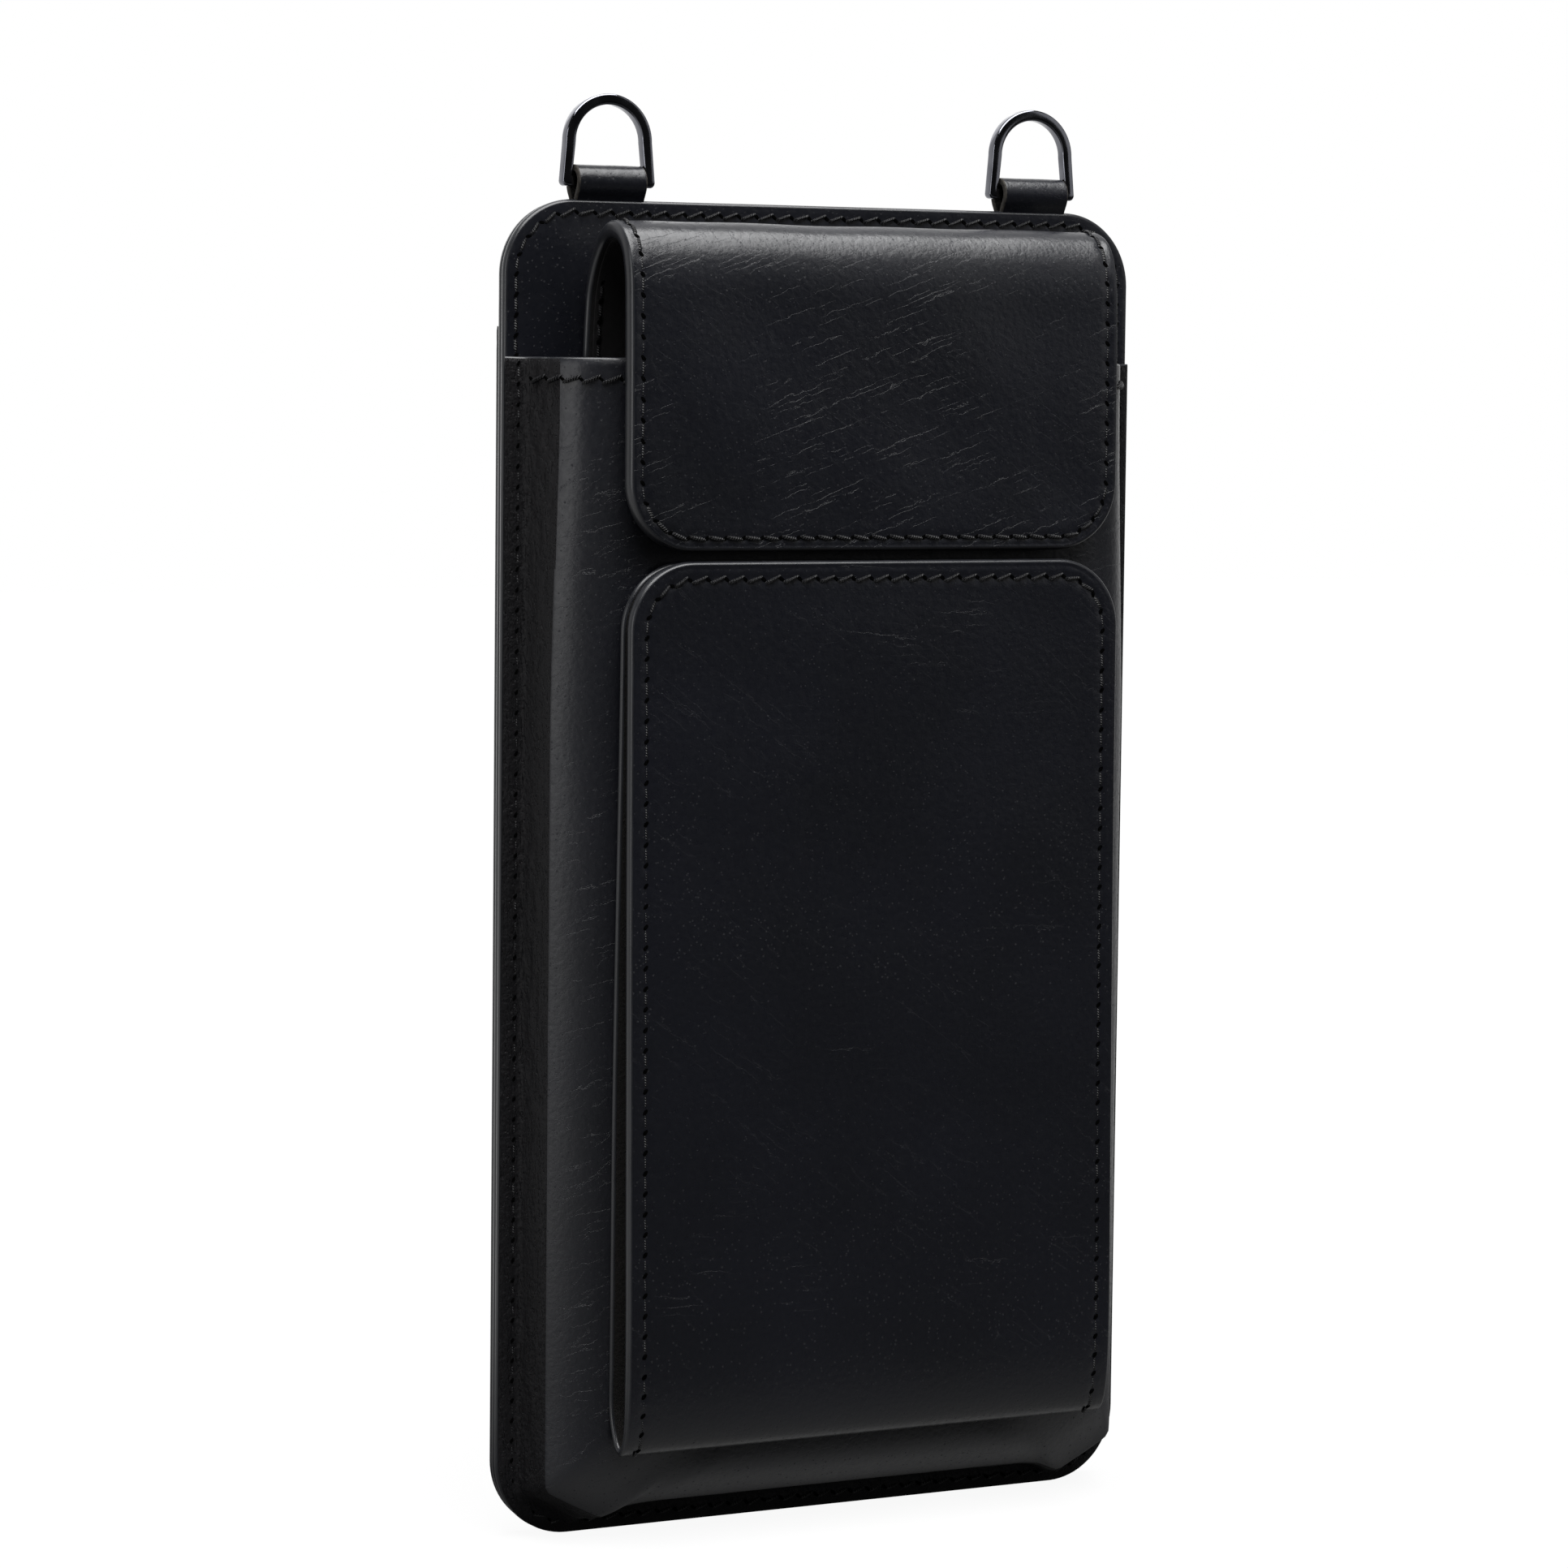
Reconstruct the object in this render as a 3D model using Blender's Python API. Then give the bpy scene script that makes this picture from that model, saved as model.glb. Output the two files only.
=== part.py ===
# A leather phone pouch that hangs from two rings. A flap folds over the pocket's mouth, a card
# wallet on the front folds down, and a slip pocket lies on the back.
# X runs to the right, the front faces -Y and Z points up. The origin is midway between the two
# ring bars, where a strap holds the pouch. All sizes are in metres.
import math

import bmesh
import bpy
from mathutils import Vector

# Back panel, its lining and the slip pocket behind it
PANEL_WIDTH = 0.1045
PANEL_HEIGHT = 0.195
PANEL_CORNER_RADIUS = 0.011
BACK_LEATHER = 0.00125
REAR_POCKET_LEATHER = 0.0009
REAR_POCKET_MOUTH_DROP = 0.018

# Moulded front pocket. Insets run in from the panel's edge, depths forward from the back lining.
POCKET_LEATHER = 0.0012
POCKET_MOUTH_DROP = 0.023
FLANGE_WIDTH = 0.0027
RIDGE_INSET = 0.0046
RIDGE_DEPTH = 0.0076
FRONT_INSET = 0.017
POCKET_DEPTH = 0.0132
POCKET_LEAST_RADIUS = 0.002
FACING_LEATHER = 0.0011
FACING_BORDER = 0.004

# Upper flap
FLAP_LEATHER = 0.0012
FLAP_LINING = 0.0012
FLAP_SIDE_MARGIN = 0.0122
FLAP_CORNER_RADIUS = 0.010
UPPER_CROWN_DROP = 0.0031
UPPER_FLAP_HEIGHT = 0.0473
UPPER_FLAP_STAND = 0.0014
UPPER_TAIL_LENGTH = 0.030
UPPER_REAR_CHAMFER = 0.0064
UPPER_FRONT_CHAMFER = 0.0054

# Lower flap, which is the front leaf of the card wallet
FLAP_SPLIT_GAP = 0.0013
WALLET_LEATHER = 0.0011
WALLET_LINING = 0.0012
LOWER_FOLD_RISE = 0.0142
LINING_FOLD_CLEARANCE = 0.003
CARD_LEATHER = 0.0006
CARD_MARGIN = 0.004
CARD_POCKET_HEIGHT = 0.072
THUMB_NOTCH_RADIUS = 0.009

# Hidden magnets in the flaps and the steel keepers behind the pocket's front
MAGNET_DIAMETER = 0.012
MAGNET_THICKNESS = 0.0006
KEEPER_THICKNESS = 0.0005
MAGNET_EDGE_MARGIN = 0.011

# Strap rings and their leather tabs
RING_SIDE_INSET = 0.0168
RING_INNER_WIDTH = 0.0116
RING_RISE = 0.01265
RING_LEAN = 0.0005
RING_WIRE = 0.0016
RING_DEPTH = 0.0022
RING_EDGE_ROUND = 0.0005
TAB_LEATHER = 0.0009
TAB_TONGUE = 0.001
TAB_TONGUE_LENGTH = 0.012

# Fits and finish
SEAT_GAP = 0.0003
EDGE_ROUND = 0.0002
CORNER_STEPS = 8
PROFILE_STEPS = 5
FOLD_STEPS = 4
ROUND_STEPS = 32
SHARP_ANGLE = 35

# Places worked out from the sizes above
ringCornerIn = (RING_WIRE / 2 - RING_EDGE_ROUND, RING_DEPTH / 2 - RING_EDGE_ROUND)
ringBarReach = math.hypot(*ringCornerIn) + RING_EDGE_ROUND
loopInner = ringBarReach + SEAT_GAP
loopOuter = loopInner + TAB_LEATHER
panelTop = -(loopOuter + SEAT_GAP)
panelBottom = panelTop - PANEL_HEIGHT
panelHalf = PANEL_WIDTH / 2
liningFront = -(SEAT_GAP / 2 + BACK_LEATHER)
flapHalf = panelHalf - FLAP_SIDE_MARGIN
pocketMouth = panelTop - POCKET_MOUTH_DROP
flapThickness = FLAP_LEATHER + SEAT_GAP + FLAP_LINING
upperCrown = panelTop - UPPER_CROWN_DROP
upperEdge = upperCrown - UPPER_FLAP_HEIGHT
upperFront = POCKET_DEPTH + UPPER_FLAP_STAND + flapThickness
lowerTop = upperEdge - FLAP_SPLIT_GAP
walletRear = POCKET_DEPTH + SEAT_GAP
cardRear = walletRear + WALLET_LEATHER + SEAT_GAP
walletThickness = WALLET_LEATHER + SEAT_GAP + WALLET_LINING
lowerFront = cardRear + CARD_LEATHER + SEAT_GAP + walletThickness


def atDepth(depth):
    # Depths count forward from the back lining's face.
    return liningFront - depth


def clearScene():
    for old in list(bpy.data.objects):
        bpy.data.objects.remove(old, do_unlink=True)


def makeMaterial(name, colour, roughness, metallic=0.0):
    material = bpy.data.materials.new(name)
    material.use_nodes = True
    shader = material.node_tree.nodes["Principled BSDF"]
    shader.inputs["Base Color"].default_value = (*colour, 1.0)
    shader.inputs["Roughness"].default_value = roughness
    shader.inputs["Metallic"].default_value = metallic
    return material


def addHolder(name, point):
    # An empty on a joint's axis, which carries the pieces that turn there.
    holder = bpy.data.objects.new(name, None)
    holder.location = point
    holder.empty_display_size = 0.01
    bpy.context.collection.objects.link(holder)
    return holder


def addPiece(name, bm, material, holder=None):
    # A named object from a bmesh in world places, with its origin at its holder.
    bmesh.ops.recalc_face_normals(bm, faces=bm.faces)
    if holder:
        bmesh.ops.translate(bm, verts=bm.verts, vec=-Vector(holder.location))
    mesh = bpy.data.meshes.new(name)
    bm.to_mesh(mesh)
    bm.free()
    mesh.shade_smooth()
    mesh.set_sharp_from_angle(angle=math.radians(SHARP_ANGLE))
    piece = bpy.data.objects.new(name, mesh)
    bpy.context.collection.objects.link(piece)
    piece.parent = holder
    if material:
        mesh.materials.append(material)
    return piece


def roundEdges(piece, width, segments=1):
    bevel = piece.modifiers.new("edge_round", "BEVEL")
    bevel.width = width
    bevel.segments = segments
    bevel.limit_method = "ANGLE"


def cutWith(piece, cutter):
    cutter.hide_render = True
    cutter.display_type = "WIRE"
    cut = piece.modifiers.new("cut", "BOOLEAN")
    cut.operation = "DIFFERENCE"
    cut.object = cutter


def arc(centreX, centreZ, radius, start, end, steps):
    # Points on a circle from the start angle to the end angle, in degrees.
    angles = [math.radians(start + (end - start) * i / steps) for i in range(steps + 1)]
    return [(centreX + radius * math.cos(a), centreZ + radius * math.sin(a)) for a in angles]


def outline(half, low, high, lowRadius=0.0, highRadius=0.0):
    # A rectangle of half width half between two heights, with round corners where a radius is given.
    points = []
    corners = (
        (-half, low, lowRadius, 180),
        (half, low, lowRadius, 270),
        (half, high, highRadius, 0),
        (-half, high, highRadius, 90),
    )
    for x, z, radius, start in corners:
        if radius:
            inX = math.copysign(half - radius, x)
            inZ = low + radius if z == low else high - radius
            points += arc(inX, inZ, radius, start, start + 90, CORNER_STEPS)
        else:
            points.append((x, z))
    return points


def prism(front, back):
    # A closed solid between two rings of the same number of 3-D points.
    bm = bmesh.new()
    nearRing = [bm.verts.new(p) for p in front]
    farRing = [bm.verts.new(p) for p in back]
    bm.faces.new(nearRing)
    bm.faces.new(farRing[::-1])
    for i in range(len(nearRing)):
        j = (i + 1) % len(nearRing)
        bm.faces.new((nearRing[i], farRing[i], farRing[j], nearRing[j]))
    return bm


def plate(frontOutline, frontDepth, backOutline, backDepth):
    front = [(x, atDepth(frontDepth), z) for x, z in frontOutline]
    back = [(x, atDepth(backDepth), z) for x, z in backOutline]
    return prism(front, back)


def flatPlate(shape, frontDepth, thickness):
    return plate(shape, frontDepth, shape, frontDepth - thickness)


def disc(centreX, centreZ, radius, frontDepth, thickness):
    ring = arc(centreX, centreZ, radius, 0, 360 - 360 / ROUND_STEPS, ROUND_STEPS - 1)
    return flatPlate(ring, frontDepth, thickness)


def makeBack():
    # The two back layers hold the ring tabs between them, and the slip pocket is sewn on behind.
    full = outline(panelHalf, panelBottom, panelTop, PANEL_CORNER_RADIUS, PANEL_CORNER_RADIUS)
    lining = addPiece("back_lining", flatPlate(full, 0.0, BACK_LEATHER), leatherBlack)
    panel = addPiece(
        "back_panel", flatPlate(full, -(BACK_LEATHER + SEAT_GAP), BACK_LEATHER), leatherBlack
    )
    rearTop = panelTop - REAR_POCKET_MOUTH_DROP
    rear = outline(panelHalf, panelBottom, rearTop, PANEL_CORNER_RADIUS)
    rearFront = -(2 * (BACK_LEATHER + SEAT_GAP))
    pocket = addPiece("rear_pocket", flatPlate(rear, rearFront, REAR_POCKET_LEATHER), leatherBlack)
    for piece in (lining, panel, pocket):
        roundEdges(piece, EDGE_ROUND)
    return lining, panel


def pocketProfile():
    # The sewn flange, the steep wall up to the ridge, then a quarter sine from ridge to flat front.
    flange = SEAT_GAP + POCKET_LEATHER
    points = [(0.0, flange), (FLANGE_WIDTH, flange)]
    swell = POCKET_DEPTH - RIDGE_DEPTH
    for i in range(PROFILE_STEPS + 1):
        share = i / PROFILE_STEPS
        inset = RIDGE_INSET + (FRONT_INSET - RIDGE_INSET) * share
        points.append((inset, RIDGE_DEPTH + swell * math.sin(share * math.pi / 2)))
    return points


def moveIn(points, offset):
    # A line moved sideways by an offset, to the right of its direction, mitred at each corner.
    normals = []
    for (x0, y0), (x1, y1) in zip(points, points[1:]):
        length = math.hypot(x1 - x0, y1 - y0)
        normals.append(((y1 - y0) / length, -(x1 - x0) / length))
    normals.append(normals[-1])
    moved = []
    for i, (x, y) in enumerate(points):
        before = normals[max(i - 1, 0)]
        after = normals[i]
        share = offset / (1 + before[0] * after[0] + before[1] * after[1])
        moved.append((x + (before[0] + after[0]) * share, y + (before[1] + after[1]) * share))
    return moved


def pocketPath(inset):
    # From the mouth down the left side, round both lower corners and up the right side.
    half = panelHalf - inset
    low = panelBottom + inset
    radius = max(PANEL_CORNER_RADIUS - inset, POCKET_LEAST_RADIUS)
    left = arc(-half + radius, low + radius, radius, 180, 270, CORNER_STEPS)
    right = arc(half - radius, low + radius, radius, 270, 360, CORNER_STEPS)
    return [(-half, pocketMouth)] + left + right + [(half, pocketMouth)]


def makePocket():
    outer = pocketProfile()
    bm = bmesh.new()
    walls = []
    middle = (panelHalf, POCKET_DEPTH)
    inner = moveIn(outer + [middle], POCKET_LEATHER)[:-1]
    for profile in (outer, inner):
        rings = []
        for inset, depth in profile:
            rings.append([bm.verts.new((x, atDepth(depth), z)) for x, z in pocketPath(inset)])
        for ring, following in zip(rings, rings[1:]):
            for i in range(len(ring) - 1):
                bm.faces.new((ring[i], ring[i + 1], following[i + 1], following[i]))
        bm.faces.new(rings[-1])
        walls.append(rings)
    outside, inside = walls
    for i in range(len(outside[0]) - 1):
        bm.faces.new((outside[0][i], inside[0][i], inside[0][i + 1], outside[0][i + 1]))
    for end in (0, -1):
        for k in range(len(outside) - 1):
            bm.faces.new((outside[k][end], outside[k + 1][end], inside[k + 1][end], inside[k][end]))
    bm.faces.new((outside[-1][0], outside[-1][-1], inside[-1][-1], inside[-1][0]))
    addPiece("pocket_shell", bm, leatherBlack)


def makeFacing():
    # The facing lines the pocket's front behind both magnets and holds their keepers in recesses.
    shellBack = POCKET_DEPTH - POCKET_LEATHER
    half = panelHalf - FRONT_INSET - FACING_BORDER
    low = lowerTop - MAGNET_EDGE_MARGIN - MAGNET_DIAMETER / 2 - FACING_BORDER
    shape = outline(half, low, pocketMouth)
    leaf = flatPlate(shape, shellBack - SEAT_GAP, FACING_LEATHER)
    facing = addPiece("pocket_facing", leaf, liningGrey)
    heights = {
        "upper_keeper": upperEdge + MAGNET_EDGE_MARGIN,
        "lower_keeper": lowerTop - MAGNET_EDGE_MARGIN,
    }
    for name, height in heights.items():
        keeper = disc(0.0, height, MAGNET_DIAMETER / 2, shellBack - SEAT_GAP, KEEPER_THICKNESS)
        addPiece(name, keeper, steel)
        room = KEEPER_THICKNESS + 2 * SEAT_GAP
        hole = disc(0.0, height, MAGNET_DIAMETER / 2 + SEAT_GAP, shellBack, room)
        cutWith(facing, addPiece(name + "_seat", hole, None))


def bentStrip(line, near, far):
    # A strip across the flap that follows a line of depths and heights, between two offsets from it.
    section = moveIn(line, near) + moveIn(line, far)[::-1]
    sides = [[(x, atDepth(depth), z) for depth, z in section] for x in (-flapHalf, flapHalf)]
    return prism(*sides)


def bentLeaf(line, near, far, freeEdge):
    # A leaf whose hinged end follows a line, and whose flat rest runs on to a free edge with round
    # corners. It lies between two offsets from the line.
    radius = FLAP_CORNER_RADIUS
    turned = math.copysign(1.0, line[-1][1] - freeEdge)
    corner = freeEdge + turned * radius
    edge = arc(-flapHalf + radius, corner, radius, 180, 180 + turned * 90, CORNER_STEPS)
    edge += arc(flapHalf - radius, corner, radius, turned * 270, turned * 360, CORNER_STEPS)
    bm = bmesh.new()
    rings = []
    for offset in (near, far):
        bend = moveIn(line + [(line[-1][0], freeEdge)], offset)[:-1]
        left = [bm.verts.new((-flapHalf, atDepth(depth), z)) for depth, z in bend]
        right = [bm.verts.new((flapHalf, atDepth(depth), z)) for depth, z in bend]
        free = [bm.verts.new((x, atDepth(bend[-1][0]), z)) for x, z in edge]
        for i in range(len(bend) - 1):
            bm.faces.new((left[i], left[i + 1], right[i + 1], right[i]))
        bm.faces.new([left[-1]] + free + [right[-1]])
        rings.append(left + free + right[::-1])
    outer, inner = rings
    for i in range(len(outer)):
        j = (i + 1) % len(outer)
        bm.faces.new((outer[i], outer[j], inner[j], inner[i]))
    return bm


def magnetIn(name, lining, height, leatherBack, holder):
    # A disc magnet in a recess of the lining, against the back of the leather.
    radius = MAGNET_DIAMETER / 2
    magnet = disc(0.0, height, radius, leatherBack - SEAT_GAP, MAGNET_THICKNESS)
    addPiece(name, magnet, steel, holder)
    recess = disc(0.0, height, radius + SEAT_GAP, leatherBack, MAGNET_THICKNESS + 2 * SEAT_GAP)
    cutWith(lining, addPiece(name + "_seat", recess, None, holder))


def makeUpperFlap():
    # The leather turns over the pocket's mouth in two slanted corners. Each has its hinge half way
    # along the slant, on the outer face, and the pieces part there by the seat gap.
    rearFoot = (SEAT_GAP, upperCrown - UPPER_REAR_CHAMFER)
    rearTop = (SEAT_GAP + UPPER_REAR_CHAMFER, upperCrown)
    frontTop = (upperFront - UPPER_FRONT_CHAMFER, upperCrown)
    frontFoot = (upperFront, upperCrown - UPPER_FRONT_CHAMFER)
    slant = SEAT_GAP / 2 * math.sqrt(0.5)
    rearHinge = ((rearFoot[0] + rearTop[0]) / 2, (rearFoot[1] + rearTop[1]) / 2)
    frontHinge = ((frontTop[0] + frontFoot[0]) / 2, (frontTop[1] + frontFoot[1]) / 2)
    liningNear = FLAP_LEATHER + SEAT_GAP

    tailLow = (SEAT_GAP, rearFoot[1] - UPPER_TAIL_LENGTH)
    tail = [tailLow, rearFoot, (rearHinge[0] - slant, rearHinge[1] - slant)]
    addPiece("upper_flap_tail", bentStrip(tail, 0.0, FLAP_LEATHER), leatherBlack)

    holder = addHolder("upper_crown_axis", (0.0, atDepth(rearHinge[0]), rearHinge[1]))
    crown = [(rearHinge[0] + slant, rearHinge[1] + slant), rearTop, frontTop]
    crown.append((frontHinge[0] - slant, frontHinge[1] + slant))
    addPiece("upper_crown", bentStrip(crown, 0.0, FLAP_LEATHER), leatherBlack, holder)
    crownLining = bentStrip(crown, liningNear, flapThickness)
    addPiece("upper_crown_lining", crownLining, liningGrey, holder)

    holder = addHolder("upper_flap_axis", (0.0, atDepth(frontHinge[0]), frontHinge[1]))
    leaf = [(frontHinge[0] + slant, frontHinge[1] - slant), frontFoot]
    outer = bentLeaf(leaf, 0.0, FLAP_LEATHER, upperEdge)
    roundEdges(addPiece("upper_flap", outer, leatherBlack, holder), EDGE_ROUND)
    inner = bentLeaf(leaf, liningNear, flapThickness, upperEdge)
    lining = addPiece("upper_flap_lining", inner, liningGrey, holder)
    magnetIn("upper_magnet", lining, upperEdge + MAGNET_EDGE_MARGIN, upperFront - FLAP_LEATHER, holder)


def makeCardPocket(foldEnd):
    # A card pocket on the wallet's rear leaf, open at the top, with a thumb notch.
    low = foldEnd + CARD_MARGIN
    high = low + CARD_POCKET_HEIGHT
    front = cardRear + CARD_LEATHER
    shape = outline(flapHalf - CARD_MARGIN, low, high)
    pocket = addPiece("card_pocket", flatPlate(shape, front, CARD_LEATHER), liningGrey)
    notch = disc(0.0, high, THUMB_NOTCH_RADIUS, front + SEAT_GAP, CARD_LEATHER + 2 * SEAT_GAP)
    cutWith(pocket, addPiece("thumb_notch", notch, None))


def makeWallet():
    # One piece of leather folded in half. It hinges along the fold's lowest line, on its outer face.
    radius = (lowerFront - walletRear) / 2
    middle = walletRear + radius
    foldLow = panelBottom + LOWER_FOLD_RISE
    foldEnd = foldLow + radius
    gap = SEAT_GAP / 2
    half = 45 / FOLD_STEPS
    reach = radius / math.cos(math.radians(half))
    rearFold = [(middle - gap, foldLow)]
    rearFold += arc(middle, foldEnd, reach, -90 - half, -180 + half, FOLD_STEPS - 1)
    frontFold = [(middle + gap, foldLow)]
    frontFold += arc(middle, foldEnd, reach, -90 + half, -half, FOLD_STEPS - 1)

    rear = bentLeaf(rearFold, 0.0, WALLET_LEATHER, lowerTop)
    roundEdges(addPiece("wallet_rear_leaf", rear, leatherBlack), EDGE_ROUND)
    makeCardPocket(foldEnd)

    holder = addHolder("lower_flap_axis", (0.0, atDepth(middle), foldLow))
    leaf = bentLeaf(frontFold, 0.0, -WALLET_LEATHER, lowerTop)
    roundEdges(addPiece("lower_flap", leaf, leatherBlack, holder), EDGE_ROUND)
    liningLow = foldEnd + LINING_FOLD_CLEARANCE
    liningShape = outline(flapHalf, liningLow, lowerTop, 0.0, FLAP_CORNER_RADIUS)
    liningFace = lowerFront - WALLET_LEATHER - SEAT_GAP
    lining = addPiece(
        "lower_flap_lining", flatPlate(liningShape, liningFace, WALLET_LINING), liningGrey, holder
    )
    magnetIn("lower_magnet", lining, lowerTop - MAGNET_EDGE_MARGIN, lowerFront - WALLET_LEATHER, holder)


def ringOutline(outside):
    # The bar's end, the leg that leans in, the arch, and the other leg, from left to right.
    grow = RING_WIRE if outside else 0.0
    foot = -RING_WIRE / 2 if outside else RING_WIRE / 2
    half = RING_INNER_WIDTH / 2 + grow
    archRadius = RING_INNER_WIDTH / 2 - RING_LEAN + grow
    archCentre = RING_RISE - RING_WIRE - (RING_INNER_WIDTH / 2 - RING_LEAN)
    arch = arc(0.0, archCentre, archRadius, 180, 0, 2 * CORNER_STEPS)
    return [(-half, foot)] + arch + [(half, foot)]


def makeRing(name, centreX):
    holder = addHolder(name + "_axis", (centreX, 0.0, 0.0))
    bm = bmesh.new()
    loops = []
    for y in (-RING_DEPTH / 2, RING_DEPTH / 2):
        for outside in (True, False):
            loops.append([bm.verts.new((centreX + x, y, z)) for x, z in ringOutline(outside)])
    frontOut, frontIn, backOut, backIn = loops
    around = (frontOut, frontIn, backIn, backOut, frontOut)
    for first, second in zip(around, around[1:]):
        for i in range(len(first)):
            j = (i + 1) % len(first)
            bm.faces.new((first[i], first[j], second[j], second[i]))
    ring = addPiece(name, bm, blackNickel, holder)
    roundEdges(ring, RING_EDGE_ROUND, 2)


def makeTab(name, centreX, lining, panel):
    # A leather strip folded round the ring's bar, with its skived tongue between the back layers.
    half = RING_INNER_WIDTH / 2 - SEAT_GAP
    tongueLow = panelTop - TAB_TONGUE_LENGTH
    neck = math.degrees(math.asin(TAB_TONGUE / 2 / loopOuter))
    section = arc(0.0, 0.0, loopOuter, -90 + neck, 270 - neck, ROUND_STEPS)
    section += [(-TAB_TONGUE / 2, tongueLow), (TAB_TONGUE / 2, tongueLow)]
    tab = addPiece(
        name, prism(*[[(centreX + x, y, z) for y, z in section] for x in (-half, half)]), leatherBlack
    )
    bar = arc(0.0, 0.0, loopInner, 0, 360 - 360 / ROUND_STEPS, ROUND_STEPS - 1)
    through = half + RING_WIRE
    bore = prism(*[[(centreX + x, y, z) for y, z in bar] for x in (-through, through)])
    cutWith(tab, addPiece(name + "_bore", bore, None))

    seatHalf = half + SEAT_GAP
    seatOutline = outline(seatHalf, tongueLow - SEAT_GAP, 0.0)
    room = TAB_TONGUE / 2 + SEAT_GAP
    seat = prism(*[[(centreX + x, y, z) for x, z in seatOutline] for y in (-room, room)])
    cutter = addPiece(name + "_seat", seat, None)
    for layer in (lining, panel):
        cutWith(layer, cutter)


clearScene()
leatherBlack = makeMaterial("black_leather", (0.012, 0.012, 0.014), 0.42)
liningGrey = makeMaterial("lining_leather", (0.030, 0.028, 0.028), 0.75)
blackNickel = makeMaterial("black_nickel", (0.16, 0.16, 0.17), 0.15, 1.0)
steel = makeMaterial("steel", (0.55, 0.55, 0.56), 0.35, 1.0)

backLining, backPanel = makeBack()
makePocket()
makeFacing()
makeUpperFlap()
makeWallet()
ringCentre = panelHalf - RING_SIDE_INSET
for side, x in (("left", -ringCentre), ("right", ringCentre)):
    makeTab(side + "_ring_tab", x, backLining, backPanel)
    makeRing(side + "_d_ring", x)
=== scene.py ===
import math

import bpy
import numpy as np
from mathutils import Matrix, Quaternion, Vector


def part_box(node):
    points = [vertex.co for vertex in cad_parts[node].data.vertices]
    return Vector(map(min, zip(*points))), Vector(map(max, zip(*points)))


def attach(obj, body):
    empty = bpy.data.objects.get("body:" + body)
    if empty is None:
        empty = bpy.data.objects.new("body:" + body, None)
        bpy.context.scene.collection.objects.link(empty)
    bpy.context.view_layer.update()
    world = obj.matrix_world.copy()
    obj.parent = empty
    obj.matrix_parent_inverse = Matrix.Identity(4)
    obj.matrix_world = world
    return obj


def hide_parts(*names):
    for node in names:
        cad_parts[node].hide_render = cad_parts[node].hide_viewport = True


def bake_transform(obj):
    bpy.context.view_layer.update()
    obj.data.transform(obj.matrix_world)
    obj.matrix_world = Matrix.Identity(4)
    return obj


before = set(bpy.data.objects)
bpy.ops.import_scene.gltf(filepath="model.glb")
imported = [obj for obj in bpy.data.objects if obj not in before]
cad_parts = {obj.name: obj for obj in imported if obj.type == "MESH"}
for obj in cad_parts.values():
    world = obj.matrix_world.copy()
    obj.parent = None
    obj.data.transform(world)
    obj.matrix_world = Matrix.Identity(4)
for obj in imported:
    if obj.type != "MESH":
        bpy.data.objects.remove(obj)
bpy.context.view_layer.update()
scene = bpy.context.scene
mm = 0.001
fullTurn = 6.28  # of the slow waves, in radians
chance = np.random.default_rng(11)

# Places taken from the solids
panelLow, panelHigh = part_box("back_lining")
panelHalf = panelHigh.x
panelTop = panelHigh.z
panelBottom = panelLow.z
liningFace = panelLow.y
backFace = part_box("back_panel")[1].y
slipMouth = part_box("rear_pocket")[1].z
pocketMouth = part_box("pocket_shell")[1].z
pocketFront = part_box("pocket_shell")[0].y
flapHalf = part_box("upper_flap")[1].x + 0.35 * mm  # the painted edge stands proud
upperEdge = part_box("upper_flap")[0].z
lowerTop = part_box("lower_flap")[1].z
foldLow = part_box("lower_flap")[0].z


def linear(code):
    # An sRGB hex colour as linear red, green, blue and alpha
    parts = np.array([int(code[i : i + 2], 16) for i in (1, 3, 5)]) / 255
    straight = np.where(parts <= 0.04045, parts / 12.92, ((parts + 0.055) / 1.055) ** 2.4)
    return (*straight.tolist(), 1.0)


def put(tree, kind, sockets=None, **settings):
    # Adds a node, with its settings, then its sockets' values and links. A node given for a socket
    # stands for that node's first output.
    added = tree.nodes.new("ShaderNode" + kind)
    for key, value in settings.items():
        setattr(added, key, value)
    for key, value in (sockets or {}).items():
        if isinstance(value, bpy.types.Node):
            value = value.outputs[0]
        if isinstance(value, bpy.types.NodeSocket):
            tree.links.new(value, added.inputs[key])
        else:
            added.inputs[key].default_value = value
    return added


def newFinish(name):
    # A material with its tree, its shader and the place in millimetres
    material = bpy.data.materials.new(name)
    material.use_nodes = True
    tree = material.node_tree
    shader = tree.nodes["Principled BSDF"]
    place = put(tree, "TexCoord").outputs["Object"]
    sized = put(tree, "VectorMath", {0: place, 1: (1000,) * 3}, operation="MULTIPLY")
    return material, tree, shader, sized.outputs[0]


# Drum-dyed, smooth-finished cowhide: blue-black, a soft sheen, pores that show where light rakes over a
# bend, and hairline creases. The creases are grooves, and their lines are also painted paler: partly the
# scuffed finish, partly a painted glint where they catch the light. Pores are about 0.15 mm wide on the real
# hide and the creases 0.05 mm; both are drawn wider so that they show.
hide = {
    "deep": "#07080b",
    "worn": "#0e0f15",
    # paler crease lines: the scuffed finish and a painted glint
    "creaseGlint": "#222328",
    "gathered": "#070708",
    "rubbed": "#0e0d0f",
    "pore": 0.8,
    "grain": 0.8,
    "mottle": 24.0,
    "roughness": (0.27, 0.35),
}


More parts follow.
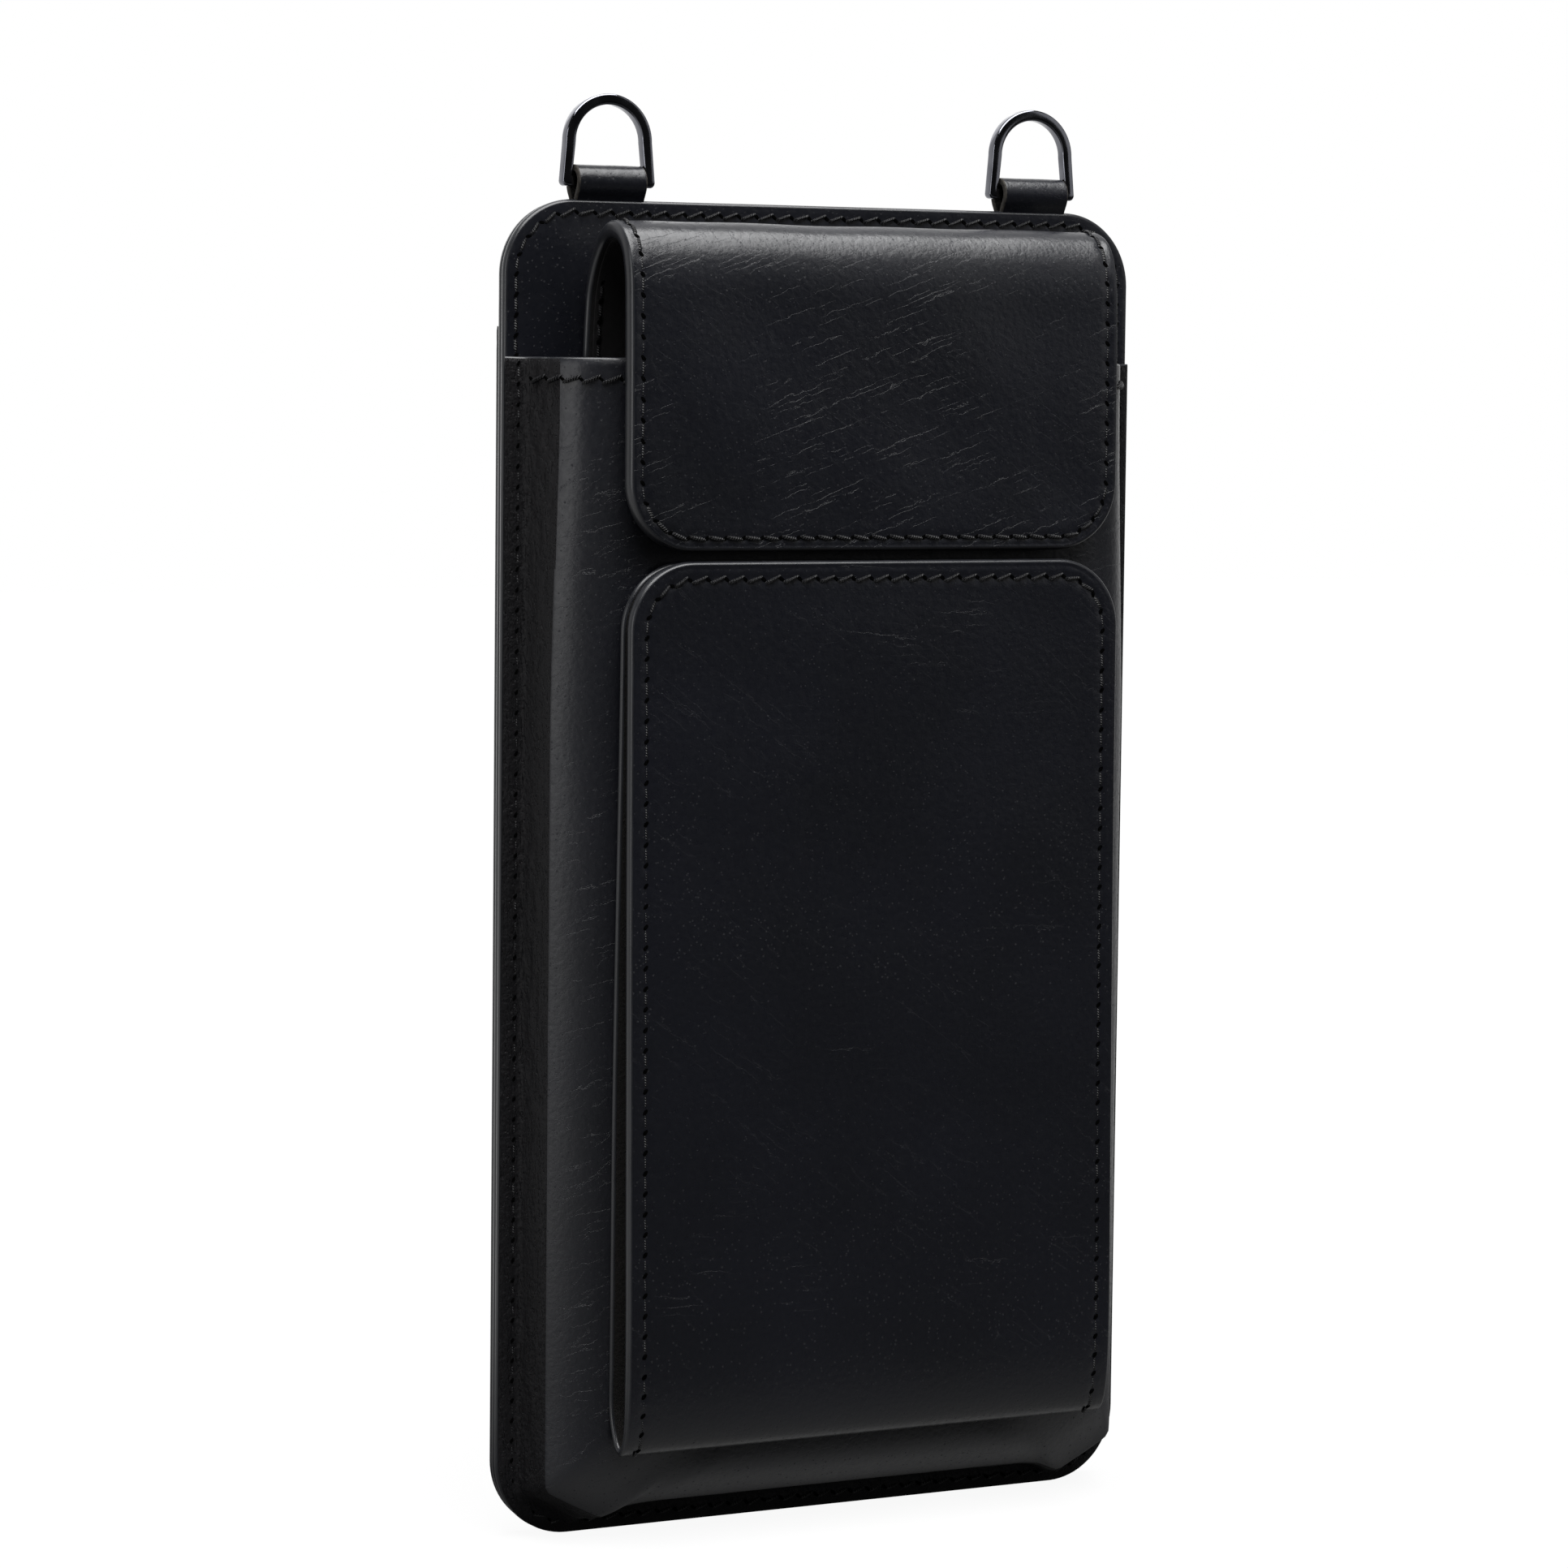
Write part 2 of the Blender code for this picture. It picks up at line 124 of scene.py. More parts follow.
def makeCowhide(name, creases, depth=0.055, matt=0.0, tints=("deep", "worn"), specular=0.30, bold=1.0):
    # A crease set is (angle in degrees, length, gap, share). Its lines stand a gap apart across the
    # angle: phase = height / gap + a wandering noise, and a line lies where the phase is a whole
    # number. A noise as long as the creases breaks them up, and a wide one leaves areas without them.
    # They are drawn over (x - y, z), so that they go on round the wall.
    material, tree, shader, place = newFinish(name)
    across = put(
        tree, "VectorMath", {0: place, 1: (1, -1, 0)}, operation="DOT_PRODUCT"
    ).outputs["Value"]
    upright = put(tree, "SeparateXYZ", {0: place}).outputs["Z"]
    laid = put(tree, "CombineXYZ", {"X": across, "Z": upright}).outputs[0]
    waver = put(tree, "TexNoise", {"Vector": laid, "Scale": 0.45, "Detail": 3.0}).outputs["Fac"]
    total = None
    for turn, length, gap, share in creases:
        way = put(
            tree,
            "Mapping",
            {"Vector": laid, "Rotation": (0, math.radians(turn), 0), "Scale": (length, length, gap)},
            vector_type="TEXTURE",
        ).outputs[0]
        wander = put(tree, "TexNoise", {"Vector": way, "Scale": 0.6, "Detail": 5.0, "Roughness": 0.68})
        height = put(tree, "SeparateXYZ", {0: way}).outputs["Z"]
        phase = put(
            tree,
            "Math",
            {0: wander.outputs["Fac"], 1: 3.2, 2: height},
            operation="MULTIPLY_ADD",
        )
        phase = put(tree, "Math", {0: waver, 1: 1.5 / gap, 2: phase}, operation="MULTIPLY_ADD")
        level = put(tree, "Math", {0: phase, 1: 0.5}, operation="PINGPONG")
        thin = 0.085 * min(bold, 1.5) / gap
        line = put(
            tree,
            "MapRange",
            {
                "Value": level,
                "From Min": 0.2 * thin,
                "From Max": thin,
                "To Min": 1.0,
                "To Max": 0.0,
            },
            interpolation_type="SMOOTHSTEP",
        )
        lengths = put(tree, "TexNoise", {"Vector": way, "Scale": 0.9, "Detail": 1.0})
        part = put(
            tree,
            "MapRange",
            {"Value": lengths.outputs["Fac"], "From Min": 0.46, "From Max": 0.66},
            interpolation_type="SMOOTHSTEP",
        )
        patch = put(
            tree,
            "TexNoise",
            {"Vector": place, "Scale": 1 / 24.0, "Detail": 2.0, "W": turn},
            noise_dimensions="4D",
        )
        where = put(
            tree,
            "MapRange",
            {"Value": patch.outputs["Fac"], "From Min": 0.58 - share, "From Max": 0.82 - share},
            interpolation_type="SMOOTHSTEP",
        )
        short = put(tree, "Math", {0: line, 1: part}, operation="MULTIPLY")
        creaseGlint = put(tree, "Math", {0: short, 1: where}, operation="MULTIPLY")
        if total:
            creaseGlint = put(tree, "Math", {0: creaseGlint, 1: total}, operation="MAXIMUM")
        total = creaseGlint.outputs[0]
    pore = put(tree, "TexVoronoi", {"Vector": place, "Scale": 1 / hide["pore"]})
    near = put(
        tree,
        "Math",
        {0: pore.outputs["Color"], 1: 0.18, 2: pore.outputs["Distance"]},
        operation="MULTIPLY_ADD",
    )
    pit = put(
        tree,
        "MapRange",
        {"Value": near, "From Min": 0.14, "From Max": 0.30, "To Min": 1.0, "To Max": 0.0},
        interpolation_type="SMOOTHSTEP",
    )
    grain = put(tree, "TexNoise", {"Vector": place, "Scale": 1 / hide["grain"], "Detail": 4.0})
    skin = put(tree, "Math", {0: pit, 1: -0.28, 2: grain.outputs["Fac"]}, operation="MULTIPLY_ADD")
    height = put(tree, "Math", {0: total, 1: -0.36 * bold, 2: skin}, operation="MULTIPLY_ADD")
    bump = put(tree, "Bump", {"Height": height, "Strength": 1.0, "Distance": depth * mm})
    tree.links.new(bump.outputs[0], shader.inputs["Normal"])
    mottle = put(tree, "TexNoise", {"Vector": place, "Scale": 1 / hide["mottle"], "Detail": 4.0})
    dye = put(
        tree,
        "Mix",
        {0: mottle.outputs["Fac"], 6: linear(hide[tints[0]]), 7: linear(hide[tints[1]])},
        data_type="RGBA",
    )
    # The crease lines are painted paler: partly the scuffed finish, partly a painted glint
    glintShare = put(tree, "Math", {0: total, 1: 0.12}, operation="MULTIPLY")
    shown = put(tree, "Mix", {0: glintShare, 6: dye.outputs[2], 7: linear(hide["creaseGlint"])}, data_type="RGBA")
    tree.links.new(shown.outputs[2], shader.inputs["Base Color"])
    low, high = (rough + matt for rough in hide["roughness"])
    dull = put(
        tree,
        "MapRange",
        {"Value": grain.outputs["Fac"], "From Min": 0.3, "From Max": 0.7, "To Min": low, "To Max": high},
    )
    rough = put(tree, "Math", {0: pit, 1: 0.35, 2: dull}, operation="MULTIPLY_ADD")
    tree.links.new(rough.outputs[0], shader.inputs["Roughness"])
    shader.inputs["Specular IOR Level"].default_value = specular
    return material


def makeSimple(name, dark, pale, grainSize, roughness, depth, specular=0.3, metallic=0.0, sheen=0.0):
    # A finish whose colour and roughness wander between two values with one grain
    material, tree, shader, place = newFinish(name)
    grain = put(tree, "TexNoise", {"Vector": place, "Scale": 1 / grainSize, "Detail": 6.0})
    spread = put(tree, "MapRange", {"Value": grain.outputs["Fac"], "From Min": 0.3, "From Max": 0.7})
    tint = put(tree, "Mix", {0: spread, 6: linear(dark), 7: linear(pale)}, data_type="RGBA")
    tree.links.new(tint.outputs[2], shader.inputs["Base Color"])
    dull = put(tree, "MapRange", {"Value": spread, "To Min": roughness[0], "To Max": roughness[1]})
    tree.links.new(dull.outputs[0], shader.inputs["Roughness"])
    bump = put(tree, "Bump", {"Height": grain.outputs["Fac"], "Strength": 1.0, "Distance": depth * mm})
    tree.links.new(bump.outputs[0], shader.inputs["Normal"])
    shader.inputs["Metallic"].default_value = metallic
    if not metallic:
        shader.inputs["Specular IOR Level"].default_value = specular
    if sheen:
        shader.inputs["Sheen Weight"].default_value = sheen
        shader.inputs["Sheen Roughness"].default_value = 0.5
    return material


pocketHide = makeCowhide("cowhide_pocket", [(-12, 9.0, 1.4, 0.28), (-28, 7.0, 1.5, 0.16)], matt=0.06)
wallHide = makeCowhide(
    "cowhide_gathered_wall",
    [(86, 4.0, 0.8, 0.45), (72, 3.0, 0.9, 0.35)],
    0.24,
    0.16,
    ("gathered", "rubbed"),
    0.10,
    2.4,
)
upperHide = makeCowhide(
    "cowhide_upper_flap", [(-20, 11.0, 0.9, 0.24), (34, 10.0, 1.1, 0.20), (66, 9.0, 1.4, 0.14)]
)
lowerHide = makeCowhide("cowhide_lower_flap", [(36, 9.0, 1.8, 0.18), (2, 10.0, 1.6, 0.10)])
panelHide = makeCowhide("cowhide_panel", [(22, 9.0, 1.9, 0.14)])
# Acrylic edge paint, built up in coats and polished: glossier than the hide
edgePaint = makeSimple("edge_paint_polished", "#101114", "#17181b", 3.5, (0.26, 0.36), 0.015, 0.34)
# Split suede lining: matt, with a short nap that lightens at a slant
suede = makeSimple("lining_split_suede", "#070707", "#0e0d0e", 0.9, (0.80, 0.95), 0.10, 0.10, 0.0, 0.03)
# The hide's own flesh side, left raw inside the fold: brown-black and fuzzy
flesh = makeSimple("raw_flesh_side", "#060605", "#100e0d", 0.55, (0.85, 1.0), 0.25, 0.1, 0.0, 0.08)
# The cut edge of the ring tabs, dyed thinly so that the hide's pale core shows
rawEdge = makeSimple("thin_dyed_cut_edge", "#151413", "#322f2b", 0.7, (0.7, 0.9), 0.08, 0.15)
# Bonded nylon thread, waxed: black, with small glints along the twist
thread = makeSimple("bonded_nylon_thread", "#060607", "#0d0d10", 0.45, (0.40, 0.56), 0.06, 0.24)
tree = thread.node_tree
lay = put(tree, "SeparateXYZ", {0: put(tree, "UVMap", uv_map="lay").outputs[0]})
ply = put(tree, "Math", {0: lay.outputs["X"], 1: lay.outputs["Y"]}, operation="ADD")
turned = put(tree, "Math", {0: ply, 1: 4 * math.pi}, operation="MULTIPLY")
ridge = put(tree, "Math", {0: turned}, operation="SINE")
grained = tree.nodes["Bump"]
twist = put(tree, "Bump", {"Height": ridge, "Strength": 1.0, "Distance": 0.08 * mm, "Normal": grained})
tree.links.new(twist.outputs[0], tree.nodes["Principled BSDF"].inputs["Normal"])
# Near-black lenses on the hide at each needle hole: painted shade that stands in for the hole's depth
slitShade = makeSimple("pierced_slit_painted_shade", "#020202", "#050505", 0.5, (0.9, 1.0), 0.02, 0.0)
# Die-cast zinc in polished black nickel: a dark mirror
nickel = makeSimple("black_nickel_polished", "#5a5b61", "#6b6c72", 3.0, (0.08, 0.14), 0.004, 0.5, 1.0)
# Nickel-plated steel discs
plated = makeSimple("nickel_plated_steel", "#a6a6a4", "#bdbcb9", 1.5, (0.24, 0.36), 0.006, 0.5, 1.0)
print("finishes made:", len(bpy.data.materials))


def addPiece(name, points, quads, finishes, kinds, sharp=50, lay=None):
    # A mesh object at the origin from an array of points and one of four-cornered faces
    mesh = bpy.data.meshes.new(name)
    mesh.vertices.add(len(points))
    mesh.vertices.foreach_set("co", np.ascontiguousarray(points, np.float32).ravel())
    mesh.loops.add(quads.size)
    mesh.loops.foreach_set("vertex_index", np.ascontiguousarray(quads, np.int32).ravel())
    mesh.polygons.add(len(quads))
    mesh.polygons.foreach_set("loop_start", np.arange(len(quads), dtype=np.int32) * 4)
    mesh.polygons.foreach_set("material_index", np.ascontiguousarray(kinds, np.int32))
    mesh.update(calc_edges=True)
    if lay is not None:
        mesh.uv_layers.new(name="lay").data.foreach_set(
            "uv", lay[quads.ravel()].astype(np.float32).ravel()
        )
    mesh.validate()
    for finish in finishes:
        mesh.materials.append(finish)
    mesh.shade_smooth()
    mesh.set_sharp_from_angle(angle=math.radians(sharp))
    piece = bpy.data.objects.new(name, mesh)
    scene.collection.objects.link(piece)
    return piece


def gridQuads(rows, columns, first=0, turned=False):
    # The faces of a grid whose points are stored row by row
    index = np.arange(rows * columns).reshape(rows, columns) + first
    quads = np.stack([index[:-1, :-1], index[:-1, 1:], index[1:, 1:], index[1:, :-1]], -1)
    quads = quads.reshape(-1, 4)
    return quads[:, ::-1] if turned else quads


def unit(vectors):
    # Each vector divided by its length
    return vectors / np.maximum(np.linalg.norm(vectors, axis=-1, keepdims=True), 1e-12)


def wayAlong(line):
    # The distance along a line at each of its points
    return np.concatenate([[0], np.cumsum(np.linalg.norm(np.diff(line, axis=0), axis=1))])


def cutCorners(line, near, rounds):
    # Each stretch keeps its middle: new points lie a share near from either end
    for _ in range(rounds):
        fore = (1 - near) * line[:-1] + near * line[1:]
        aft = near * line[:-1] + (1 - near) * line[1:]
        line = np.concatenate([line[:1], np.stack([fore, aft], 1).reshape(-1, 2), line[-1:]])
    return line


def smoothStep(value, low, high):
    # Rises from 0 to 1 between low and high as 3 share^2 - 2 share^3
    share = np.clip((value - low) / (high - low), 0, 1)
    return share * share * (3 - 2 * share)


def evenSteps(low, high, size):
    return np.linspace(low, high, max(2, round(abs(high - low) / size) + 1))


def cutShape(half, low, high, lowRound, highRound, rowSize, columnSize, border=5 * mm, fine=0.45 * mm):
    # A cut piece laid flat. Rows rise from low to high; in a round corner they keep equal angles, and a
    # row reaches half - r + r sin(angle). Columns share each row out, finer within the border.
    turn = np.linspace(0, np.pi / 2, 22)
    rows = [low + lowRound * (1 - np.cos(turn))] if lowRound else [evenSteps(low, low + border, fine)]
    rows.append(
        high - highRound * (1 - np.cos(turn)) if highRound else evenSteps(high, high - border, fine)
    )
    rows[1] = rows[1][::-1]
    middle = evenSteps(rows[0][-1], rows[1][0], rowSize)[1:-1]
    height = np.concatenate([rows[0], middle, rows[1]])
    slack = np.zeros_like(height)
    if lowRound:
        slack[: len(turn)] = lowRound * (1 - np.sin(turn))
    if highRound:
        slack[-len(turn) :] = (highRound * (1 - np.sin(turn)))[::-1]
    edge = evenSteps(0, border, fine)
    inside = evenSteps(border, 2 * half - border, columnSize)[1:-1]
    across = np.concatenate([edge, inside, 2 * half - edge[::-1]]) / half - 1
    return across[None, :] * (half - slack)[:, None], np.repeat(height[:, None], len(across), 1)


def inFrom(x, s, half, low, high, lowRound, highRound):
    # How far a flat point lies in from the cut edge of a rectangle with round corners
    middle = (low + high) / 2
    radius = np.where(s < middle, lowRound, highRound)
    overX = np.abs(x) - half + radius
    overS = np.abs(s - middle) - (high - low) / 2 + radius
    outside = np.hypot(np.maximum(overX, 0), np.maximum(overS, 0))
    return radius - np.minimum(np.maximum(overX, overS), 0) - outside


def softWaves(x, s, size, length, seed):
    # A lazy unevenness: five sine waves that run different ways
    picks = np.random.default_rng(seed)
    total = np.zeros(np.broadcast(x, s).shape)
    for way, stretch, start in zip(
        picks.uniform(0, fullTurn, 5), picks.uniform(0.6, 1.6, 5), picks.uniform(0, fullTurn, 5)
    ):
        total = total + np.sin((x * np.cos(way) + s * np.sin(way)) * fullTurn / (length * stretch) + start)
    return total * size / 5


def flatBend(face, forward=1):
    # A flat sheet on a plane: lift is forward of it, or behind it with the width turned round
    def bend(x, s, lift):
        x, s, lift = np.broadcast_arrays(x, s, lift)
        return np.stack([forward * x, face - forward * lift, s], -1)

    return bend


def curveThrough(points, parts=24):
    # A Catmull-Rom curve through points, each stretch cut in equal parts
    p = np.asarray(points, float)
    p = np.concatenate([[2 * p[0] - p[1]], p, [2 * p[-1] - p[-2]]])
    t = np.linspace(0, 1, parts, endpoint=False)[None, :, None]
    a, b, c, d = (p[i : len(p) - 3 + i, None, :] for i in range(4))
    bent = b + 0.5 * t * (c - a + t * (2 * a - 5 * b + 4 * c - d + t * (3 * (b - c) + d - a)))
    return np.concatenate([bent.reshape(-1, p.shape[1]), p[-2:-1]])


def stripBend(line, across=0.0):
    # A strip that follows a line of (y, z) points. The way along it is s, and its outer face looks to
    # the left of that way: for a direction (ty, tz) the outward one is (-tz, ty).
    way = wayAlong(line)
    even = np.linspace(0, way[-1], 900)
    y = np.interp(even, way, line[:, 0])
    z = np.interp(even, way, line[:, 1])
    heading = unit(np.stack([np.gradient(y), np.gradient(z)], -1))

    def bend(x, s, lift):
        x, s, lift = np.broadcast_arrays(x, s, lift)
        ty = np.interp(s, even, heading[:, 0])
        tz = np.interp(s, even, heading[:, 1])
        past = s - np.clip(s, 0, way[-1])
        atY = np.interp(s, even, y) + past * ty - lift * tz
        atZ = np.interp(s, even, z) + past * tz + lift * ty
        return np.stack([x + across, atY, atZ], -1)

    return bend, way[-1], even, np.stack([y, z], -1)


def makeSheet(name, flat, bend, lift, back, edge, finishes, flatEnds=()):
    # A closed sheet of leather: its outer face lifted off the bend, its inner face, and a rim between
    # them that is rounded at both faces: out by bulge sin(angle), down by radius (1 - cos(angle)).
    x, s = flat
    rows, columns = x.shape
    lift = np.broadcast_to(lift, x.shape).ravel()
    back = np.broadcast_to(back, x.shape).ravel()
    around = np.concatenate(
        [
            np.arange(columns),
            np.arange(1, rows) * columns + columns - 1,
            (rows - 1) * columns + np.arange(columns - 2, -1, -1),
            np.arange(rows - 2, 0, -1) * columns,
        ]
    )
    line = np.stack([x.ravel()[around], s.ravel()[around]], -1)
    ahead = unit(np.roll(line, -1, 0) - line)
    heading = unit(ahead + np.roll(ahead, 1, 0))
    out = np.stack([heading[:, 1], -heading[:, 0]], -1)
    swell = np.full(len(around), edge["bulge"])
    for end in flatEnds:
        there = around // columns == (0 if end == "low" else rows - 1)
        side = there & np.isin(around % columns, (0, columns - 1))
        swell[there & ~side] = 0
        out[side] = np.stack([np.sign(line[side, 0]), np.zeros(side.sum())], -1)
    turn = np.linspace(0, np.pi / 2, 5)
    top, low = lift[around], back[around]
    down = [np.outer(1 - np.cos(turn), np.minimum(edge["outer"], 0.55 * (top - low)))]
    innerRound = np.minimum(edge["inner"], 0.45 * (top - low))
    down.append((top - low)[None] - np.outer(1 - np.cos(turn), innerRound)[::-1])
    reach = np.concatenate([np.sin(turn), np.sin(turn)[::-1]])[1:-1, None]
    down = np.concatenate(down)[1:-1]
    rim = bend(line[:, 0] + out[:, 0] * swell * reach, line[:, 1] + out[:, 1] * swell * reach, top - down)
    outer = bend(x.ravel(), s.ravel(), lift)
    inner = bend(x.ravel(), s.ravel(), back)
    points = np.concatenate([outer, inner, rim.reshape(-1, 3)])
    count = rows * columns
    steps, length = rim.shape[:2]
    strip = np.concatenate(
        [around[None], 2 * count + np.arange(steps * length).reshape(steps, length), count + around[None]]
    )
    following = np.roll(strip, -1, 1)
    rimQuads = np.stack([strip[:-1], strip[1:], following[1:], following[:-1]], -1).reshape(-1, 4)
    faces = [gridQuads(rows, columns), gridQuads(rows, columns, count, True), rimQuads]
    kinds = np.repeat([0, 2 if len(finishes) > 2 else 0, 1], [len(f) for f in faces])
    return addPiece(name, points, np.concatenate(faces), finishes, kinds)


# Sewing: one slanted thread for each stitch, with a slit between neighbours, drawn as a near-black lens of
# painted shade
sewing = {
    "pitch": 2.95 * mm,
    "thick": 0.29 * mm,
    "rise": 0.17 * mm,
    "sunk": -0.20 * mm,
    "dip": 0.42 * mm,
    "slant": 0.36,
    "twist": 0.75 * mm,
}


def uLine(half, start, end, radius):
    # Down one side from start, round both corners of the end, and back up the other side
    way = math.copysign(1.0, end - start)
    turn = np.linspace(0, np.pi / 2, 24)
    left = np.stack([-half + radius * (1 - np.cos(turn)), end - way * radius * (1 - np.sin(turn))], -1)
    right = left[::-1] * (-1, 1)
    return np.concatenate([[[-half, start]], left, right, [[half, start]]])


def stitchPlaces(line):
    # Equal steps along a flat line: the middle of each stitch, its direction, and the slits between
    way = wayAlong(line)
    count = max(1, round(way[-1] / sewing["pitch"]))
    step = way[-1] / count

    def at(s):
        return np.stack([np.interp(s, way, line[:, i]) for i in range(line.shape[1])], -1)

    middle = (np.arange(count) + 0.5) * step
    holes = np.arange(count + 1) * step
    along = unit(at(middle + 0.3 * step) - at(middle - 0.3 * step))
    holeWay = unit(at(holes + 0.3 * step) - at(holes - 0.3 * step))
    return at(middle), along, at(holes), holeWay


def holeDents(x, s, holes, depth, width):
    # The hide is drawn down round each needle hole as a bell of the distance to the nearest one
    near = np.full(x.shape, 1.0)
    for part in np.array_split(holes, max(1, len(holes) // 24)):
        gap = np.hypot(x[..., None] - part[:, 0], s[..., None] - part[:, 1]).min(-1)
        near = np.minimum(near, gap)
    return -depth * np.exp(-((near / width) ** 2))


def sewRow(name, middles, alongs, normals, holes, holeAlongs, holeNormals, lean=1, proud=1.0):
    # A stitch rises by rise - dip q^4 over q from -1 to 1 and drifts sideways by slant q. One that
    # runs down the piece lies sunk in its groove, and hardly slants. A proud row stands up and is
    # stouter. Six sides.
    count = len(middles)
    q = np.linspace(-1, 1, 7)
    turn = (np.arange(6) / 6 - 0.25) * 2 * np.pi
    thick = sewing["thick"] * (0.6 + 0.4 * proud) * (1 - 0.4 * q**4)
    sideways = np.cross(normals, alongs)
    wander = chance.normal(0, 0.05, (count, 1))
    stretch = 0.5 * sewing["pitch"] * chance.uniform(0.90, 0.98, (count, 1))
    ahead = stretch * q
    level = 1 - alongs[:, 2:] ** 2
    drift = (sewing["slant"] + wander) * (0.12 + 0.88 * level) * lean * stretch * q
    rise = sewing["sunk"] + (sewing["rise"] - sewing["sunk"]) * level * proud
    rise = rise + chance.normal(0, 0.02 * mm, (count, 1)) - sewing["dip"] * q**4
    core = middles[:, None] + ahead[..., None] * alongs[:, None] + drift[..., None] * sideways[:, None]
    core = core + rise[..., None] * normals[:, None]
    round1 = (thick[:, None] * np.cos(turn))[None, ..., None] * sideways[:, None, None]
    round2 = (thick[:, None] * np.sin(turn))[None, ..., None] * normals[:, None, None]
    points = [(core[:, :, None] + round1 + round2).reshape(-1, 3)]
    lay = np.zeros((count, 7, 6, 2))
    lay[..., 0] = (ahead / sewing["twist"])[..., None]
    lay[..., 1] = turn / (2 * np.pi)
    index = np.arange(7 * 6).reshape(7, 6)
    beside = np.roll(index, -1, 1)
    one = np.stack([index[:-1], index[1:], beside[1:], beside[:-1]], -1).reshape(-1, 4)
    ends = [
        index[0][[0, 1, 2, 3]], index[0][[0, 3, 4, 5]], index[-1][[3, 2, 1, 0]], index[-1][[5, 4, 3, 0]]
    ]
    one = np.concatenate([one, ends])
    quads = [(one[None] + np.arange(count)[:, None, None] * 42).reshape(-1, 4)]
    # Each slit is a low lens, pointed along the awl's cut; its near-black finish is painted shade for the
    # depth of the needle hole
    cut = unit(holeAlongs * 0.75 - np.cross(holeNormals, holeAlongs) * 0.65 * np.sign(lean))
    over = np.cross(holeNormals, cut)
    angle = np.arange(8) / 8 * 2 * np.pi
    levels = ((0.52, 0.28, -0.25), (0.50, 0.26, 0.02), (0.26, 0.12, 0.04))
    lens = [
        holes[:, None]
        + (long * mm * np.cos(angle))[None, :, None] * cut[:, None]
        + (wide * mm * np.sin(angle))[None, :, None] * over[:, None]
        + high * mm * holeNormals[:, None]
        for long, wide, high in levels
    ]
    points.append(np.stack(lens, 1).reshape(-1, 3))
    index = np.arange(24).reshape(3, 8)
    beside = np.roll(index, -1, 1)
    one = np.stack([index[:-1], beside[:-1], beside[1:], index[1:]], -1).reshape(-1, 4)
    caps = np.array([[0, 1, 2, 3], [0, 3, 4, 7], [4, 5, 6, 7]])
    one = np.concatenate([one, caps[:, ::-1], caps + 16])
    quads.append((one[None] + np.arange(len(holes))[:, None, None] * 24).reshape(-1, 4) + len(points[0]))
    kinds = np.repeat([0, 1], [len(part) for part in quads])
    lay = np.concatenate([lay.reshape(-1, 2), np.zeros((len(points[1]), 2))])
    return addPiece(
        name, np.concatenate(points), np.concatenate(quads), (thread, slitShade), kinds, lay=lay
    )


def sewSheet(name, line, bend, lift=0.0, lean=1, proud=1.0):
    # Carries a flat line of stitches onto a bent sheet
    tiny = 0.05 * mm

    def carry(flat, way):
        here = bend(flat[:, 0], flat[:, 1], lift)
        fore = bend(flat[:, 0] + way[:, 0] * tiny, flat[:, 1] + way[:, 1] * tiny, lift)
        raised = bend(flat[:, 0], flat[:, 1], lift + tiny)
        return here, unit(fore - here), unit(raised - here)

    middle, along, holes, holeWay = stitchPlaces(line)
    return sewRow(name, *carry(middle, along), *carry(holes, holeWay), lean, proud)


def settle(piece, body, slot, *nodes):
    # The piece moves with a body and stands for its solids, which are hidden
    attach(piece, body)
    if nodes:
        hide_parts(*nodes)


# The back: two layers with a groove between their painted edges, and the slip pocket behind
back = {"round": 11 * mm, "layer": 1.38 * mm, "seam": 1.9 * mm, "groove": 0.07 * mm, "slip": 0.75 * mm}
backEdge = {"bulge": 0.45 * mm, "outer": 0.75 * mm, "inner": 0.50 * mm}


def grooveAt(inset, place, depth, width=0.55 * mm):
    # The hide sinks along a sewn line as a bell of the distance from it
    return -depth * np.exp(-(((inset - place) / width) ** 2))


def makeBackLayer(name, face, forward, high, thickness, edge, seed, node, step=0.0, mouthRow=False):
    trim = edge["bulge"] + step
    topRound = back["round"] - trim if high == panelTop else 0.0
    flat = cutShape(
        panelHalf - trim, panelBottom + trim, high - trim, back["round"] - trim, topRound, 3 * mm, 3 * mm
    )
    reach = high if high == panelTop else high + 1.0
    inset = inFrom(*flat, panelHalf, panelBottom, reach, back["round"], back["round"])
    lift = grooveAt(inset, back["seam"], back["groove"]) + softWaves(*flat, 0.09 * mm, 38 * mm, seed)
    lift = lift * smoothStep(inset, 0.3 * mm, 2 * mm)
    if mouthRow:
        lift = lift + grooveAt(high - flat[1], 2.9 * mm, 0.06 * mm)
    sheet = makeSheet(name, flat, flatBend(face, forward), lift, -thickness, edge, (panelHide, edgePaint))
    settle(sheet, "pouch", "leather", node)
    return sheet


makeBackLayer("back_lining_leather", liningFace, 1, panelTop, back["layer"], backEdge, 3, "back_lining")
makeBackLayer(
    "back_panel_leather", backFace, -1, panelTop, back["layer"], backEdge, 4, "back_panel", 0.15 * mm
)
slipEdge = {"bulge": 0.3 * mm, "outer": 0.3 * mm, "inner": 0.12 * mm}
slipFace = backFace + back["slip"]  # skived thinner than the other layers
makeBackLayer(
    "slip_pocket_leather",
    slipFace,
    -1,
    slipMouth,
    back["slip"] - 0.02 * mm,
    slipEdge,
    5,
    "rear_pocket",
    0.3 * mm,
    True,
)

